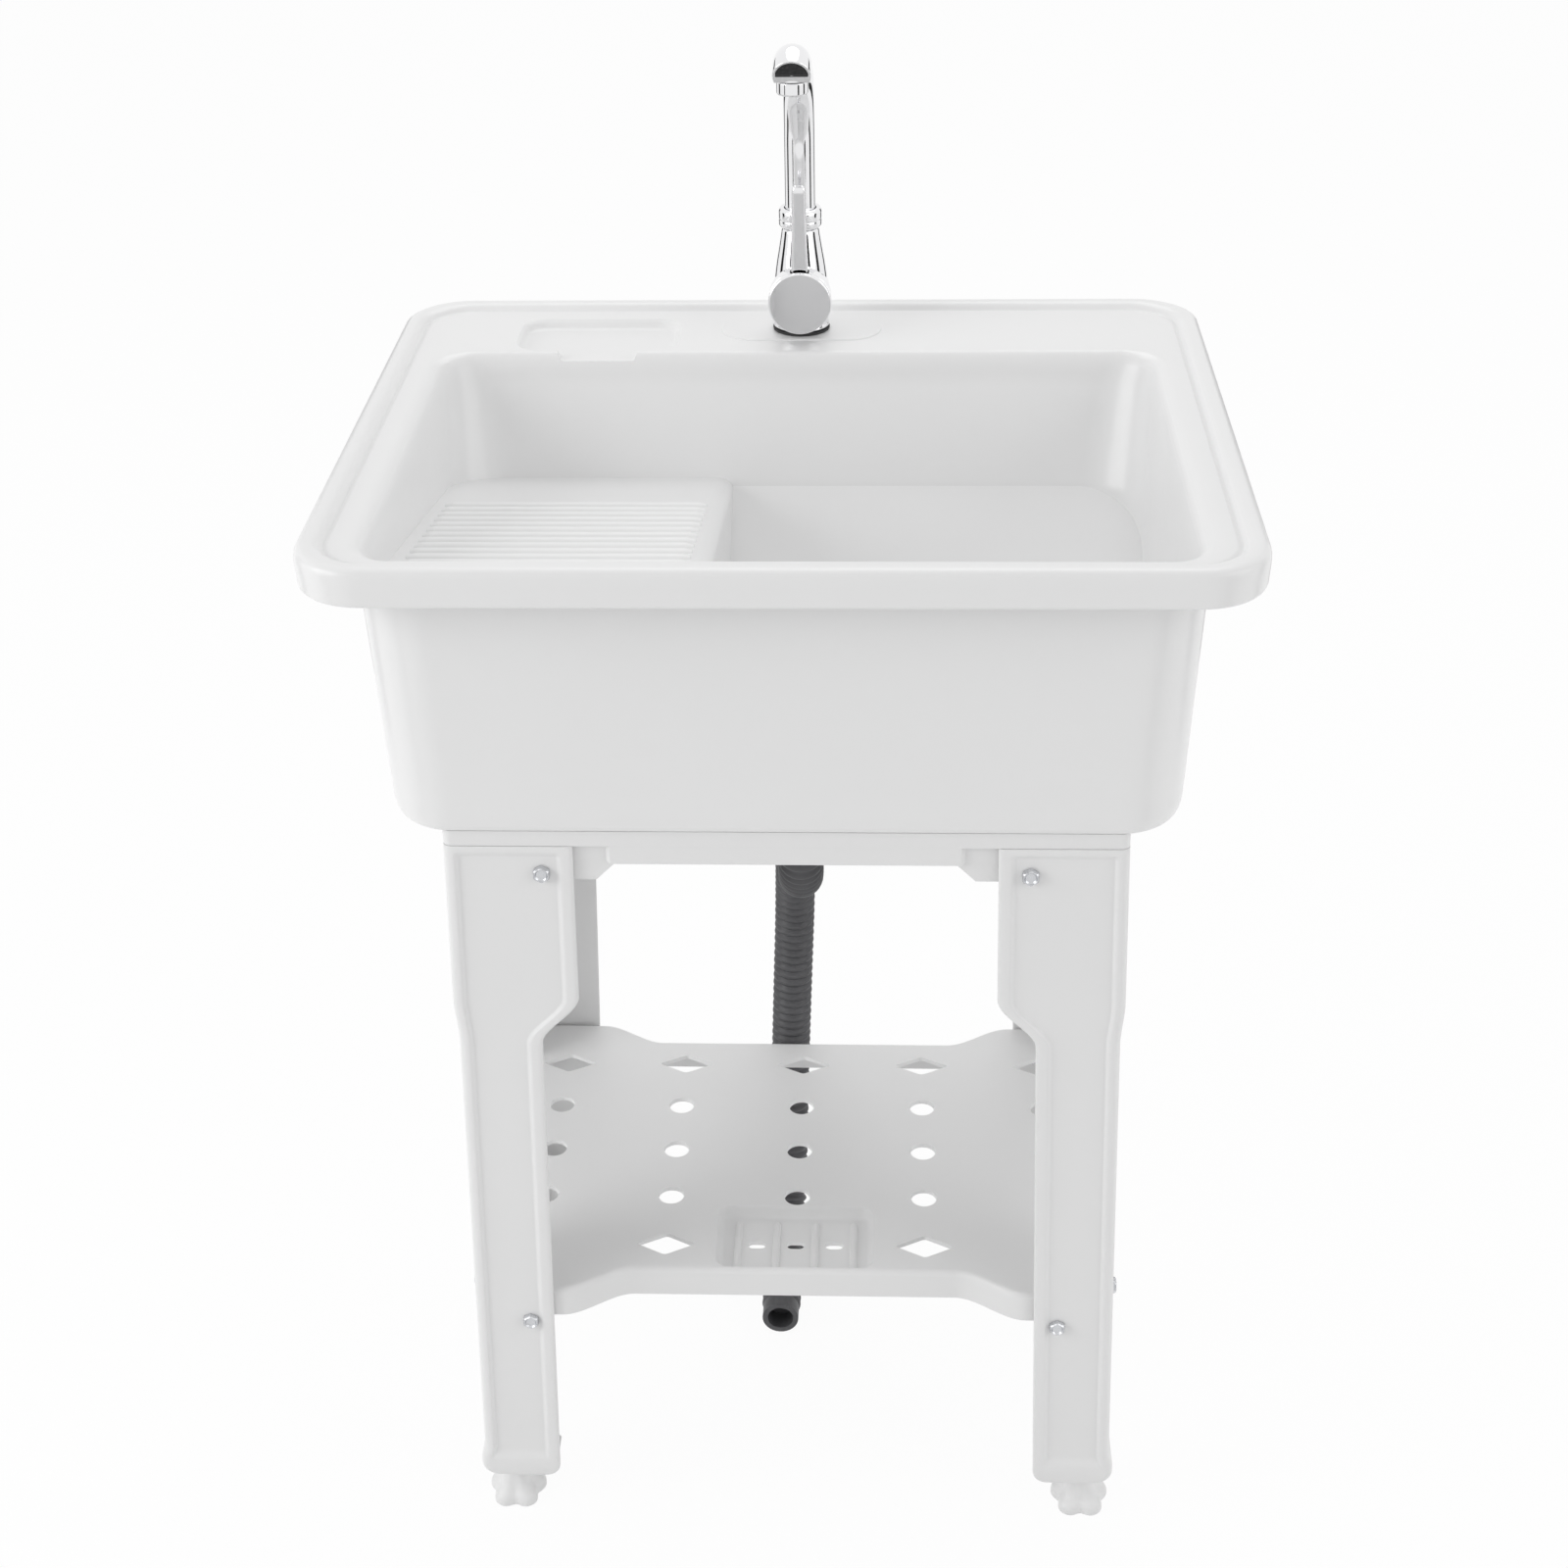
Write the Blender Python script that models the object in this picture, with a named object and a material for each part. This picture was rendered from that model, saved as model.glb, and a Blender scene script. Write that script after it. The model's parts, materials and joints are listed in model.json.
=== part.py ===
"""Free-standing plastic laundry sink with a washboard, a shelf, a lever tap and a ribbed drain hose.

Metres, +Z up, the front faces -Y, the floor is z = 0 and x = 0 is the middle of the rim.
"""

import math

import bmesh
import bpy

# Driving dimensions, in metres
RIM_HALF_WIDTH = 0.300
RIM_HALF_DEPTH = 0.250
BASIN_HEIGHT = 0.209
SKIRT_HEIGHT = 0.032
DECK_DROP = 0.004
WALL = 0.005
FLOOR_RISE = 0.019
BOARD_RIGHT = -0.0475
BOARD_FRONT_DROP = 0.0275
BOARD_BACK_DROP = 0.091
RIB_COUNT = 14
RIB_RADIUS = 0.0052
DRAIN_X = 0.006
DRAIN_Y = -0.085
LEG_TOP = 0.614
LEG_BOTTOM = 0.0415
LEG_WALL = 0.004
LEG_SPLAY = 0.030
LEG_STEP = 0.003
FRAME_LEDGE = 0.012
SHELF_TOP = 0.2275
SHELF_PLATE = 0.0035
SHELF_FLANGE = 0.0245
SHELF_DIP = 0.024
SIDE_BOLT_Y = 0.032
BOLT_RADIUS = 0.003
HEAD_RADIUS = 0.0064
HEAD_HEIGHT = 0.0042
FOOT_INSET = 0.026
FOOT_RADIUS = 0.0225
TAP_X = 0.002
HUB_RADIUS = 0.0232
NECK_HEIGHT = 0.079
SPOUT_RADIUS = 0.0112
SPOUT_REACH = 0.127
SPOUT_RISE = 0.1515
HOSE_RADIUS = 0.0165
HOSE_ROOT = 0.0147
HOSE_BORE = 0.0109
HOSE_PITCH = 0.0074
GAP = 0.0003

# Heights and places that follow from them
BASIN_BOTTOM = LEG_TOP + FRAME_LEDGE
RIM_TOP = BASIN_BOTTOM + BASIN_HEIGHT
DECK = RIM_TOP - DECK_DROP
BOWL_FLOOR = BASIN_BOTTOM + FLOOR_RISE
BOARD_FRONT_Y = -RIM_HALF_DEPTH + 0.0305
BOARD_BACK_Y = RIM_HALF_DEPTH - 0.1380
BOARD_FRONT_Z = RIM_TOP - BOARD_FRONT_DROP
BOARD_BACK_Z = RIM_TOP - BOARD_BACK_DROP
RIB_PITCH = (BOARD_BACK_Y - BOARD_FRONT_Y - 0.1365) / (RIB_COUNT - 1)
LEG_OUTER = RIM_HALF_WIDTH - 0.0734
LEG_INNER = LEG_OUTER - 0.0861
LEG_FRONT = -RIM_HALF_DEPTH + 0.046
LEG_REAR = RIM_HALF_DEPTH - 0.108
MID_Y = 0.5 * (LEG_FRONT + LEG_REAR)
STEP_HIGH = LEG_TOP - 0.121
STEP_LOW = LEG_TOP - 0.160
APRON_LOW = LEG_TOP - 0.014
GUSSET_LOW = LEG_TOP - 0.028
UPPER_BOLT_X = LEG_OUTER - 0.0646
UPPER_BOLT_Z = LEG_TOP - 0.021
LOWER_BOLT_X = LEG_OUTER - 0.0316
LOWER_BOLT_Z = SHELF_TOP - 0.0265
SIDE_BOLT_Z = SHELF_TOP - 0.0135
SHELF_HALF_WIDTH = LEG_OUTER + LEG_SPLAY * (LEG_TOP - SHELF_TOP) - LEG_STEP - LEG_WALL - GAP
FOOT_X = LEG_OUTER + LEG_SPLAY * (LEG_TOP - LEG_BOTTOM) - 0.022275
TAP_Y = RIM_HALF_DEPTH - 0.060
HUB_Z = DECK + 0.032
NECK_TOP = DECK + NECK_HEIGHT
NOSE_Y = TAP_Y - SPOUT_REACH
NOSE_Z = NECK_TOP + SPOUT_RISE
HOSE_BACK = LEG_REAR - 0.002


def hose_point(x, share, z):
    """A point of the hose's middle line. Share runs from the drain, 0, to the drop behind the shelf, 1."""
    return (x, DRAIN_Y + share * (HOSE_BACK - DRAIN_Y), z)


# The middle line of the drain hose: down from the drain, back, down behind the shelf, then under it
HOSE_LINE = [
    (DRAIN_X, DRAIN_Y, BOWL_FLOOR - 0.043),
    (DRAIN_X, DRAIN_Y, BOWL_FLOOR - 0.065),
    (DRAIN_X, DRAIN_Y, BOWL_FLOOR - 0.087),
    hose_point(DRAIN_X, 0.0311, BOWL_FLOOR - 0.117),
    hose_point(0.0050, 0.1333, BOWL_FLOOR - 0.145),
    hose_point(0.0030, 0.2978, BOWL_FLOOR - 0.164),
    hose_point(0.0000, 0.5022, BOWL_FLOOR - 0.177),
    hose_point(-0.0030, 0.6978, BOWL_FLOOR - 0.194),
    hose_point(-0.0050, 0.8578, BOWL_FLOOR - 0.221),
    hose_point(-0.0065, 0.9556, BOWL_FLOOR - 0.260),
    hose_point(-0.0080, 0.9933, SHELF_TOP + 0.1075),
    hose_point(-0.0105, 1.0000, SHELF_TOP + 0.0425),
    hose_point(-0.0130, 1.0000, SHELF_TOP - 0.0275),
    hose_point(-0.0150, 0.9956, 0.130),
    hose_point(-0.0165, 0.9644, 0.075),
    hose_point(-0.0175, 0.8756, 0.038),
    hose_point(-0.0185, 0.7333, HOSE_RADIUS + 0.0040),
    hose_point(-0.0195, 0.5644, HOSE_RADIUS + 0.0005),
    hose_point(-0.0200, 0.4000, HOSE_RADIUS + 0.0005),
]

for old in list(bpy.data.objects):
    bpy.data.objects.remove(old, do_unlink=True)

PARTS = bpy.data.collections.new("laundry_sink")
CUTTERS = bpy.data.collections.new("cutters")
bpy.context.scene.collection.children.link(PARTS)
bpy.context.scene.collection.children.link(CUTTERS)


def material(name, colour, metallic, roughness):
    made = bpy.data.materials.new(name)
    made.use_nodes = True
    node = made.node_tree.nodes["Principled BSDF"]
    node.inputs["Base Color"].default_value = (*colour, 1.0)
    node.inputs["Metallic"].default_value = metallic
    node.inputs["Roughness"].default_value = roughness
    return made


WHITE = material("white_plastic", (0.86, 0.86, 0.86), 0.0, 0.35)
WHITE_FRAME = material("white_frame_plastic", (0.83, 0.83, 0.83), 0.0, 0.42)
CHROME = material("chrome", (0.82, 0.82, 0.84), 1.0, 0.08)
STEEL = material("zinc_steel", (0.62, 0.63, 0.65), 1.0, 0.35)
BLACK = material("black_rubber", (0.02, 0.02, 0.02), 0.0, 0.6)
HOSE_GREY = material("grey_hose", (0.09, 0.09, 0.095), 0.0, 0.55)
BRASS = material("brass", (0.72, 0.55, 0.25), 1.0, 0.3)


def finish(bm, name, colour, where=None):
    bmesh.ops.recalc_face_normals(bm, faces=bm.faces)
    mesh = bpy.data.meshes.new(name)
    bm.to_mesh(mesh)
    bm.free()
    obj = bpy.data.objects.new(name, mesh)
    if where is None:
        where = PARTS
    where.objects.link(obj)
    if where is CUTTERS:
        obj.hide_render = True
        obj.display_type = "WIRE"
    if colour is not None:
        mesh.materials.append(colour)
    return obj


def add_loft(bm, rings, closed=False):
    """Joins rings of points in order. With closed set, the last ring joins the first one."""
    rows = [[bm.verts.new(p) for p in ring] for ring in rings]
    count = len(rows[0])
    pairs = list(zip(rows, rows[1:]))
    if closed:
        pairs.append((rows[-1], rows[0]))
    for low, high in pairs:
        for i in range(count):
            j = (i + 1) % count
            bm.faces.new((low[i], low[j], high[j], high[i]))
    if not closed:
        bm.faces.new(rows[0])
        bm.faces.new(rows[-1])


def loft(name, rings, colour, where=None, closed=False):
    bm = bmesh.new()
    add_loft(bm, rings, closed)
    return finish(bm, name, colour, where)


def oblong(x0, x1, y0, y1, radius, z, steps=5):
    """A rectangle with round corners, as points at height z."""
    points = []
    corners = ((x1, y1, 0), (x0, y1, 90), (x0, y0, 180), (x1, y0, 270))
    for cx, cy, start in corners:
        mx = cx - math.copysign(radius, cx - 0.5 * (x0 + x1))
        my = cy - math.copysign(radius, cy - 0.5 * (y0 + y1))
        for i in range(steps + 1):
            a = math.radians(start + 90 * i / steps)
            points.append((mx + radius * math.cos(a), my + radius * math.sin(a), z))
    return points


def ring_at(half, front, back, radius, z, steps=4):
    return oblong(-half, half, front, back, radius, z, steps)


def turned(point, axis, centre):
    """Maps a point of a turned shape, made about +Z, onto another axis."""
    x, y, z = point
    if axis == "Y":
        x, y, z = x, -z, y
    if axis == "X":
        x, y, z = z, y, -x
    return (centre[0] + x, centre[1] + y, centre[2] + z)


def circle(radius, z, count, spin=0.0):
    points = []
    for i in range(count):
        a = 2 * math.pi * i / count + spin
        points.append((radius * math.cos(a), radius * math.sin(a), z))
    return points


def lathe(name, profile, centre, colour, where=None, axis="Z", count=24, closed=False):
    """Turns a profile of (radius, height) about an axis through centre. On Y, heights run towards -Y."""
    rings = []
    for radius, z in profile:
        rings.append([turned(p, axis, centre) for p in circle(radius, z, count)])
    return loft(name, rings, colour, where, closed)


def prism(name, points, place, low, high, colour, where=None):
    """Extrudes a flat outline. Place turns (a, b, depth) into (x, y, z)."""
    rings = []
    for depth in (low, high):
        rings.append([place(a, b, depth) for a, b in points])
    return loft(name, rings, colour, where)


def box(name, low, high, colour, where=None):
    points = [(low[0], low[1]), (high[0], low[1]), (high[0], high[1]), (low[0], high[1])]
    return prism(name, points, flat, low[2], high[2], colour, where)


def flat(a, b, depth):
    return (a, b, depth)


def upright(a, b, depth):
    """Outline in X and Z, depth along Y."""
    return (a, depth, b)


def combine(obj, other, kind):
    modifier = obj.modifiers.new(kind.lower(), "BOOLEAN")
    modifier.operation = kind
    modifier.solver = "EXACT"
    modifier.object = other


def cut(obj, *others):
    for other in others:
        combine(obj, other, "DIFFERENCE")


def join(obj, *others):
    for other in others:
        combine(obj, other, "UNION")


def joint_empty(name, at, *moved):
    empty = bpy.data.objects.new(name, None)
    empty.location = at
    empty.empty_display_size = 0.02
    PARTS.objects.link(empty)
    for obj in moved:
        obj.parent = empty
        obj.matrix_parent_inverse.translation = (-at[0], -at[1], -at[2])


# Basin: one closed shell that runs up the outside, over the rim and down into the bowl
def make_basin():
    hw = RIM_HALF_WIDTH
    hd = RIM_HALF_DEPTH
    low = RIM_TOP - SKIRT_HEIGHT
    rings = [
        ring_at(hw - 0.0560, -hd + 0.0480, hd - 0.1100, 0.030, BASIN_BOTTOM),
        ring_at(hw - 0.0462, -hd + 0.0440, hd - 0.1080, 0.036, BASIN_BOTTOM + 0.0025),
        ring_at(hw - 0.0398, -hd + 0.0420, hd - 0.1065, 0.041, BASIN_BOTTOM + 0.0090),
        ring_at(hw - 0.0375, -hd + 0.0410, hd - 0.1060, 0.044, BASIN_BOTTOM + 0.0200),
        ring_at(hw - 0.0326, -hd + 0.0265, hd - 0.1000, 0.046, RIM_TOP - 0.035),
        ring_at(hw - 0.0295, -hd + 0.0228, hd - 0.0960, 0.048, RIM_TOP - 0.021),
        ring_at(hw - 0.0220, -hd + 0.0175, hd - 0.0900, 0.048, DECK - WALL),
        ring_at(hw - 0.0045, -hd + 0.0045, hd - 0.0045, 0.0415, DECK - WALL),
        ring_at(hw - 0.0035, -hd + 0.0035, hd - 0.0035, 0.0420, low),
        ring_at(hw - 0.0005, -hd + 0.0005, hd - 0.0005, 0.0450, low),
        ring_at(hw, -hd, hd, 0.0450, RIM_TOP - 0.0125),
        ring_at(hw - 0.0012, -hd + 0.0012, hd - 0.0012, 0.0450, RIM_TOP - 0.0060),
        ring_at(hw - 0.0045, -hd + 0.0045, hd - 0.0045, 0.0430, RIM_TOP - 0.0014),
        ring_at(hw - 0.0090, -hd + 0.0090, hd - 0.0090, 0.0400, RIM_TOP),
        ring_at(hw - 0.0140, -hd + 0.0132, hd - 0.0140, 0.0380, RIM_TOP - 0.0014),
        ring_at(hw - 0.0175, -hd + 0.0165, hd - 0.0175, 0.0360, DECK),
        ring_at(hw - 0.0300, -hd + 0.0200, hd - 0.1030, 0.0480, DECK),
        ring_at(hw - 0.0360, -hd + 0.0235, hd - 0.1075, 0.0470, DECK - 0.0025),
        ring_at(hw - 0.0410, -hd + 0.0280, hd - 0.1115, 0.0460, DECK - 0.0095),
        ring_at(hw - 0.0440, -hd + 0.0310, hd - 0.1140, 0.0450, DECK - 0.0210),
        ring_at(hw - 0.0465, -hd + 0.0395, hd - 0.1430, 0.0450, RIM_TOP - 0.097),
        ring_at(hw - 0.0490, -hd + 0.0470, hd - 0.1460, 0.0450, BOWL_FLOOR + 0.025),
        ring_at(hw - 0.0520, -hd + 0.0500, hd - 0.1490, 0.0430, BOWL_FLOOR + 0.0110),
        ring_at(hw - 0.0590, -hd + 0.0570, hd - 0.1560, 0.0380, BOWL_FLOOR + 0.0025),
        ring_at(hw - 0.0700, -hd + 0.0680, hd - 0.1670, 0.0320, BOWL_FLOOR),
    ]
    basin = loft("basin", rings, WHITE)

    # The washboard fills the left of the bowl and the floor behind the drain slopes up to the back wall
    slab = [
        (BOARD_FRONT_Y + 0.0195, BOWL_FLOOR - 0.013),
        (BOARD_FRONT_Y, BOARD_FRONT_Z),
        (BOARD_BACK_Y, BOARD_BACK_Z),
        (BOARD_BACK_Y + 0.0160, BOARD_BACK_Z - 0.009),
        (BOARD_BACK_Y + 0.0160, BOWL_FLOOR - 0.013),
    ]
    edge = [(None, 0.0), (-0.0125, 0.0), (-0.0055, 0.0013), (-0.0015, 0.0040), (0.0, 0.0085)]
    rings = []
    for inward, drop in edge:
        ring = []
        for y, z in slab:
            if inward is None:
                side = -hw + 0.0300
            else:
                side = BOARD_RIGHT + inward
            ring.append((side, y, z - (drop if z > BOWL_FLOOR else 0.0)))
        rings.append(ring)
    board = loft("board_block", rings, None, CUTTERS)
    ramp_front = DRAIN_Y + 0.051
    ramp_low = BOWL_FLOOR - 0.001
    ramp_rise = (BOARD_BACK_Z - 0.0025 - ramp_low) / (BOARD_BACK_Y - ramp_front)
    slope = [
        (ramp_front - 0.026, BOWL_FLOOR - 0.013),
        (ramp_front, ramp_low),
        (BOARD_BACK_Y, BOARD_BACK_Z - 0.0025),
        (BOARD_BACK_Y + 0.0160, BOARD_BACK_Z + 0.001),
        (BOARD_BACK_Y + 0.0160, BOWL_FLOOR - 0.013),
    ]
    rings = []
    for low_side in (True, False):
        ring = []
        for y, z in slope:
            side = BOARD_RIGHT - 0.0085 if low_side else hw - 0.0300
            ring.append((side, y, z))
        rings.append(ring)
    ramp = loft("ramp_block", rings, None, CUTTERS)

    # Both are trimmed inside the basin's wall, so they follow its round corners
    for block in (board, ramp):
        wall_line = [
            ring_at(hw - 0.0500, -hd + 0.0470, hd - 0.1110, 0.0330, BASIN_BOTTOM + 0.0035),
            ring_at(hw - 0.0428, -hd + 0.0450, hd - 0.1092, 0.0380, BASIN_BOTTOM + 0.0095),
            ring_at(hw - 0.0405, -hd + 0.0440, hd - 0.1088, 0.0410, BASIN_BOTTOM + 0.0205),
            ring_at(hw - 0.0356, -hd + 0.0295, hd - 0.1028, 0.0430, RIM_TOP - 0.0350),
            ring_at(hw - 0.0325, -hd + 0.0258, hd - 0.0990, 0.0450, RIM_TOP - 0.0220),
        ]
        combine(block, loft("wall_trim", wall_line, None, CUTTERS), "INTERSECT")
    bm = bmesh.new()
    tilt = (BOARD_BACK_Z - BOARD_FRONT_Z) / (BOARD_BACK_Y - BOARD_FRONT_Y)
    for i in range(RIB_COUNT):
        y = BOARD_BACK_Y - 0.098 - RIB_PITCH * i
        z = BOARD_FRONT_Z + tilt * (y - BOARD_FRONT_Y) - 0.0022
        rings = []
        left = -hw + 0.0670
        right = BOARD_RIGHT - 0.0210
        for x, size in ((left, 0.55), (left + 0.0035, 1.0), (right - 0.0035, 1.0), (right, 0.55)):
            radius = RIB_RADIUS * size
            rings.append([(x, y + a, z + b) for a, b, _ in circle(radius, 0.0, 8, 0.3)])
        add_loft(bm, rings)
    ribs = finish(bm, "board_ribs", None, CUTTERS)

    # Hollows below keep the wall even, as a moulding has it
    below = BASIN_BOTTOM - 0.026
    side = BOARD_RIGHT - 0.0075
    low_ring = oblong(-hw + 0.0860, side, -hd + 0.0540, hd - 0.1125, 0.040, below, 3)
    top_ring = []
    for x, y, _ in oblong(-hw + 0.0450, side, -hd + 0.0440, hd - 0.1500, 0.045, 0.0, 3):
        top_ring.append((x, y, BOARD_FRONT_Z + tilt * (y - BOARD_FRONT_Y) - 0.0065))
    hollow_left = loft("hollow_left", [low_ring, top_ring], None, CUTTERS)
    rings = []
    side = BOARD_RIGHT + 0.0060
    for z in (below, BOWL_FLOOR - WALL):
        rings.append(oblong(side, hw - 0.0860, -hd + 0.0570, hd - 0.1125, 0.035, z, 3))
    hollow_right = loft("hollow_right", rings, None, CUTTERS)
    side = BOARD_RIGHT + 0.0115
    start = ramp_front + 0.0160
    low_ring = oblong(side, hw - 0.0920, start, hd - 0.1190, 0.030, below + 0.012, 3)
    top_ring = []
    for x, y, _ in oblong(side, hw - 0.0620, start, hd - 0.1500, 0.035, 0.0, 3):
        top_ring.append((x, y, ramp_low + ramp_rise * (y - ramp_front) - 0.0075))
    hollow_ramp = loft("hollow_ramp", [low_ring, top_ring], None, CUTTERS)

    # Soap recess with its drain notch, and the raised pad under the tap
    bed = loft(
        "soap_bed",
        [
            oblong(-hw + 0.0850, -hw + 0.2170, hd - 0.1105, hd - 0.0320, 0.010, DECK - 0.0110, 3),
            oblong(-hw + 0.0850, -hw + 0.2170, hd - 0.1075, hd - 0.0320, 0.010, DECK - 0.0024, 3),
        ],
        None,
        CUTTERS,
    )
    soap = loft(
        "soap_recess",
        [
            oblong(-hw + 0.0960, -hw + 0.2060, hd - 0.1000, hd - 0.0435, 0.010, DECK - 0.0062, 3),
            oblong(-hw + 0.0935, -hw + 0.2085, hd - 0.1025, hd - 0.0410, 0.012, DECK - 0.0040, 3),
            oblong(-hw + 0.0915, -hw + 0.2105, hd - 0.1045, hd - 0.0390, 0.013, DECK + 0.0100, 3),
        ],
        None,
        CUTTERS,
    )
    notch_line = [(0.1270, -0.0064), (0.1190, 0.0100), (0.1860, 0.0100), (0.1780, -0.0064)]
    notch = prism(
        "soap_notch",
        [(-hw + x, DECK + z) for x, z in notch_line],
        upright,
        hd - 0.150,
        hd - 0.098,
        None,
        CUTTERS,
    )
    left = TAP_X - 0.060
    near = TAP_Y - 0.026
    pad = loft(
        "tap_pad",
        [
            oblong(left, left + 0.120, near, near + 0.052, 0.0255, DECK - 0.0030),
            oblong(left, left + 0.120, near, near + 0.052, 0.0255, DECK + 0.0006),
            oblong(left + 0.001, left + 0.119, near + 0.001, near + 0.051, 0.0245, DECK + 0.0012),
        ],
        None,
        CUTTERS,
    )
    tap_hole = lathe("tap_hole", [(0.0125, -0.02), (0.0125, 0.02)], (TAP_X, TAP_Y, DECK), None, CUTTERS)
    seat = lathe(
        "drain_seat",
        [(0.0225, -0.02), (0.0225, -0.0022), (0.0410, -0.0022), (0.0425, 0.02)],
        (DRAIN_X, DRAIN_Y, BOWL_FLOOR),
        None,
        CUTTERS,
        count=24,
    )
    join(basin, board, ramp, ribs, bed, pad)
    cut(basin, hollow_left, hollow_right, hollow_ramp, soap, notch, tap_hole, seat)


# Legs: L sections that narrow at an S-curve, with a boot and a screwed foot
def outer_x(z):
    x = LEG_OUTER + LEG_SPLAY * (LEG_TOP - z)
    bend = STEP_HIGH - 0.003
    boot = LEG_BOTTOM + 0.0305
    if z < bend:
        x -= LEG_STEP * min(1.0, (bend - z) / 0.036)
    if z < boot:
        x += 0.0030 * min(1.0, (boot - z) / 0.012)
    return x


def step_share(z):
    """How far down the S-curve a height is, from 0 above it to 1 below it."""
    share = (STEP_HIGH - z) / (STEP_HIGH - STEP_LOW)
    share = max(0.0, min(1.0, share))
    return share * share * (3 - 2 * share)


def inner_x(z):
    high = LEG_INNER + 0.020 * min(LEG_TOP - z, LEG_TOP - STEP_HIGH)
    low = LEG_INNER + 0.0297 + 0.030 * (STEP_LOW - z)
    return high + step_share(z) * (low - high)


def side_reach(z):
    """How far the side flange reaches back from the front face."""
    return 0.082 - 0.026 * step_share(z)


STEP_LEVELS = [STEP_HIGH + 0.001, STEP_HIGH - 0.009, STEP_HIGH - 0.018, STEP_LOW + 0.012, STEP_LOW - 0.001]
LEG_LEVELS = [LEG_TOP] + STEP_LEVELS
LEG_LEVELS += [LEG_BOTTOM + 0.0315, LEG_BOTTOM + 0.0185, LEG_BOTTOM + 0.004, LEG_BOTTOM]


def placed(point, sx, sy):
    """Mirrors a front right point to another corner of the stand."""
    x, y, z = point
    if sy < 0:
        y = 2 * MID_Y - y
    return (sx * x, y, z)


def make_leg(tag, sx, sy):
    front = LEG_FRONT
    rings = []
    for z in LEG_LEVELS:
        xo = outer_x(z)
        xi = inner_x(z)
        back = front + side_reach(z)
        lip = 0.0
        if z < LEG_BOTTOM + 0.003:
            lip = 0.0012
        section = [
            (xi + 0.0012 + lip, front + lip),
            (xi + lip, front + 0.0012 + lip),
            (xi + lip, front + LEG_WALL),
            (xo - LEG_WALL, front + LEG_WALL),
            (xo - LEG_WALL, back),
            (xo - lip, back),
            (xo - lip, front + 0.0060),
            (xo - 0.0008 - lip, front + 0.0030 + lip),
            (xo - 0.0030 - lip, front + 0.0008 + lip),
            (xo - 0.0060, front + lip),
        ]
        rings.append([placed((x, y, z), sx, sy) for x, y in section])
    leg = loft("leg_" + tag, rings, WHITE_FRAME)

    # Closed sole with a boss for the screw of the foot
    z0 = LEG_BOTTOM + 0.0006
    xo = outer_x(LEG_BOTTOM + 0.0085) - 0.0016
    xi = inner_x(LEG_BOTTOM + 0.0085) + 0.0016
    low = [(xi, front + 0.002), (xo, front + 0.002), (xo, front + 0.0535), (xi, front + 0.0535)]
    low[3] = (xi + 0.016, front + 0.0535)
    low.append((xi, front + 0.034))
    rings = []
    for z in (z0, z0 + 0.006):
        rings.append([placed((x, y, z), sx, sy) for x, y in low])
    sole = loft("sole_" + tag, rings, None, CUTTERS)
    foot = placed((FOOT_X, front + FOOT_INSET, 0.0), sx, sy)
    profile = [(0.0105, z0 + 0.001), (0.0095, LEG_BOTTOM + 0.0365)]
    boss = lathe("boss_" + tag, profile, foot, None, CUTTERS, count=16)
    join(leg, sole, boss)

    # Front panel, set back a little inside a raised border
    panel = []
    heights = [LEG_BOTTOM + 0.0245] + STEP_LEVELS[::-1] + [LEG_TOP - 0.0060]
    for z in heights:
        panel.append((inner_x(z) + 0.0110, z))
    for z in reversed(heights):
        panel.append((outer_x(z) - 0.0075, z))
    rings = []
    for y in (front - 0.010, front + 0.0010):
        rings.append([placed((x, y, z), sx, sy) for x, z in panel])
    recess = loft("panel_" + tag, rings, None, CUTTERS)
    cut(leg, recess)

    bm = bmesh.new()
    for x, z in ((UPPER_BOLT_X, UPPER_BOLT_Z), (LOWER_BOLT_X, LOWER_BOLT_Z)):
        rings = []
        for y in (front - 0.02, front + 0.02):
            ring = []
            for a, b, _ in circle(BOLT_RADIUS + 0.0005, 0.0, 8):
                ring.append(placed((x + a, y, z + b), sx, sy))
            rings.append(ring)
        add_loft(bm, rings)
    xs = outer_x(SIDE_BOLT_Z)
    rings = []
    for x in (xs - 0.02, xs + 0.02):
        ring = []
        for a, b, _ in circle(BOLT_RADIUS + 0.0005, 0.0, 8):
            ring.append(placed((x, front + SIDE_BOLT_Y + a, SIDE_BOLT_Z + b), sx, sy))
        rings.append(ring)
    add_loft(bm, rings)
    rings = []
    for z in (LEG_BOTTOM - 0.0115, LEG_BOTTOM + 0.0585):
        rings.append([(foot[0] + a, foot[1] + b, z) for a, b, _ in circle(0.0043, 0.0, 12)])
    add_loft(bm, rings)
    holes = finish(bm, "holes_" + tag, None, CUTTERS)
    cut(leg, holes)


def lobes(radius, depth, z, count=25, number=5):
    points = []
    for i in range(count):
        a = 2 * math.pi * i / count
        r = radius - depth * (0.5 + 0.5 * math.cos(number * a + math.pi / 2))
        points.append((r * math.cos(a), r * math.sin(a), z))
    return points


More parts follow.
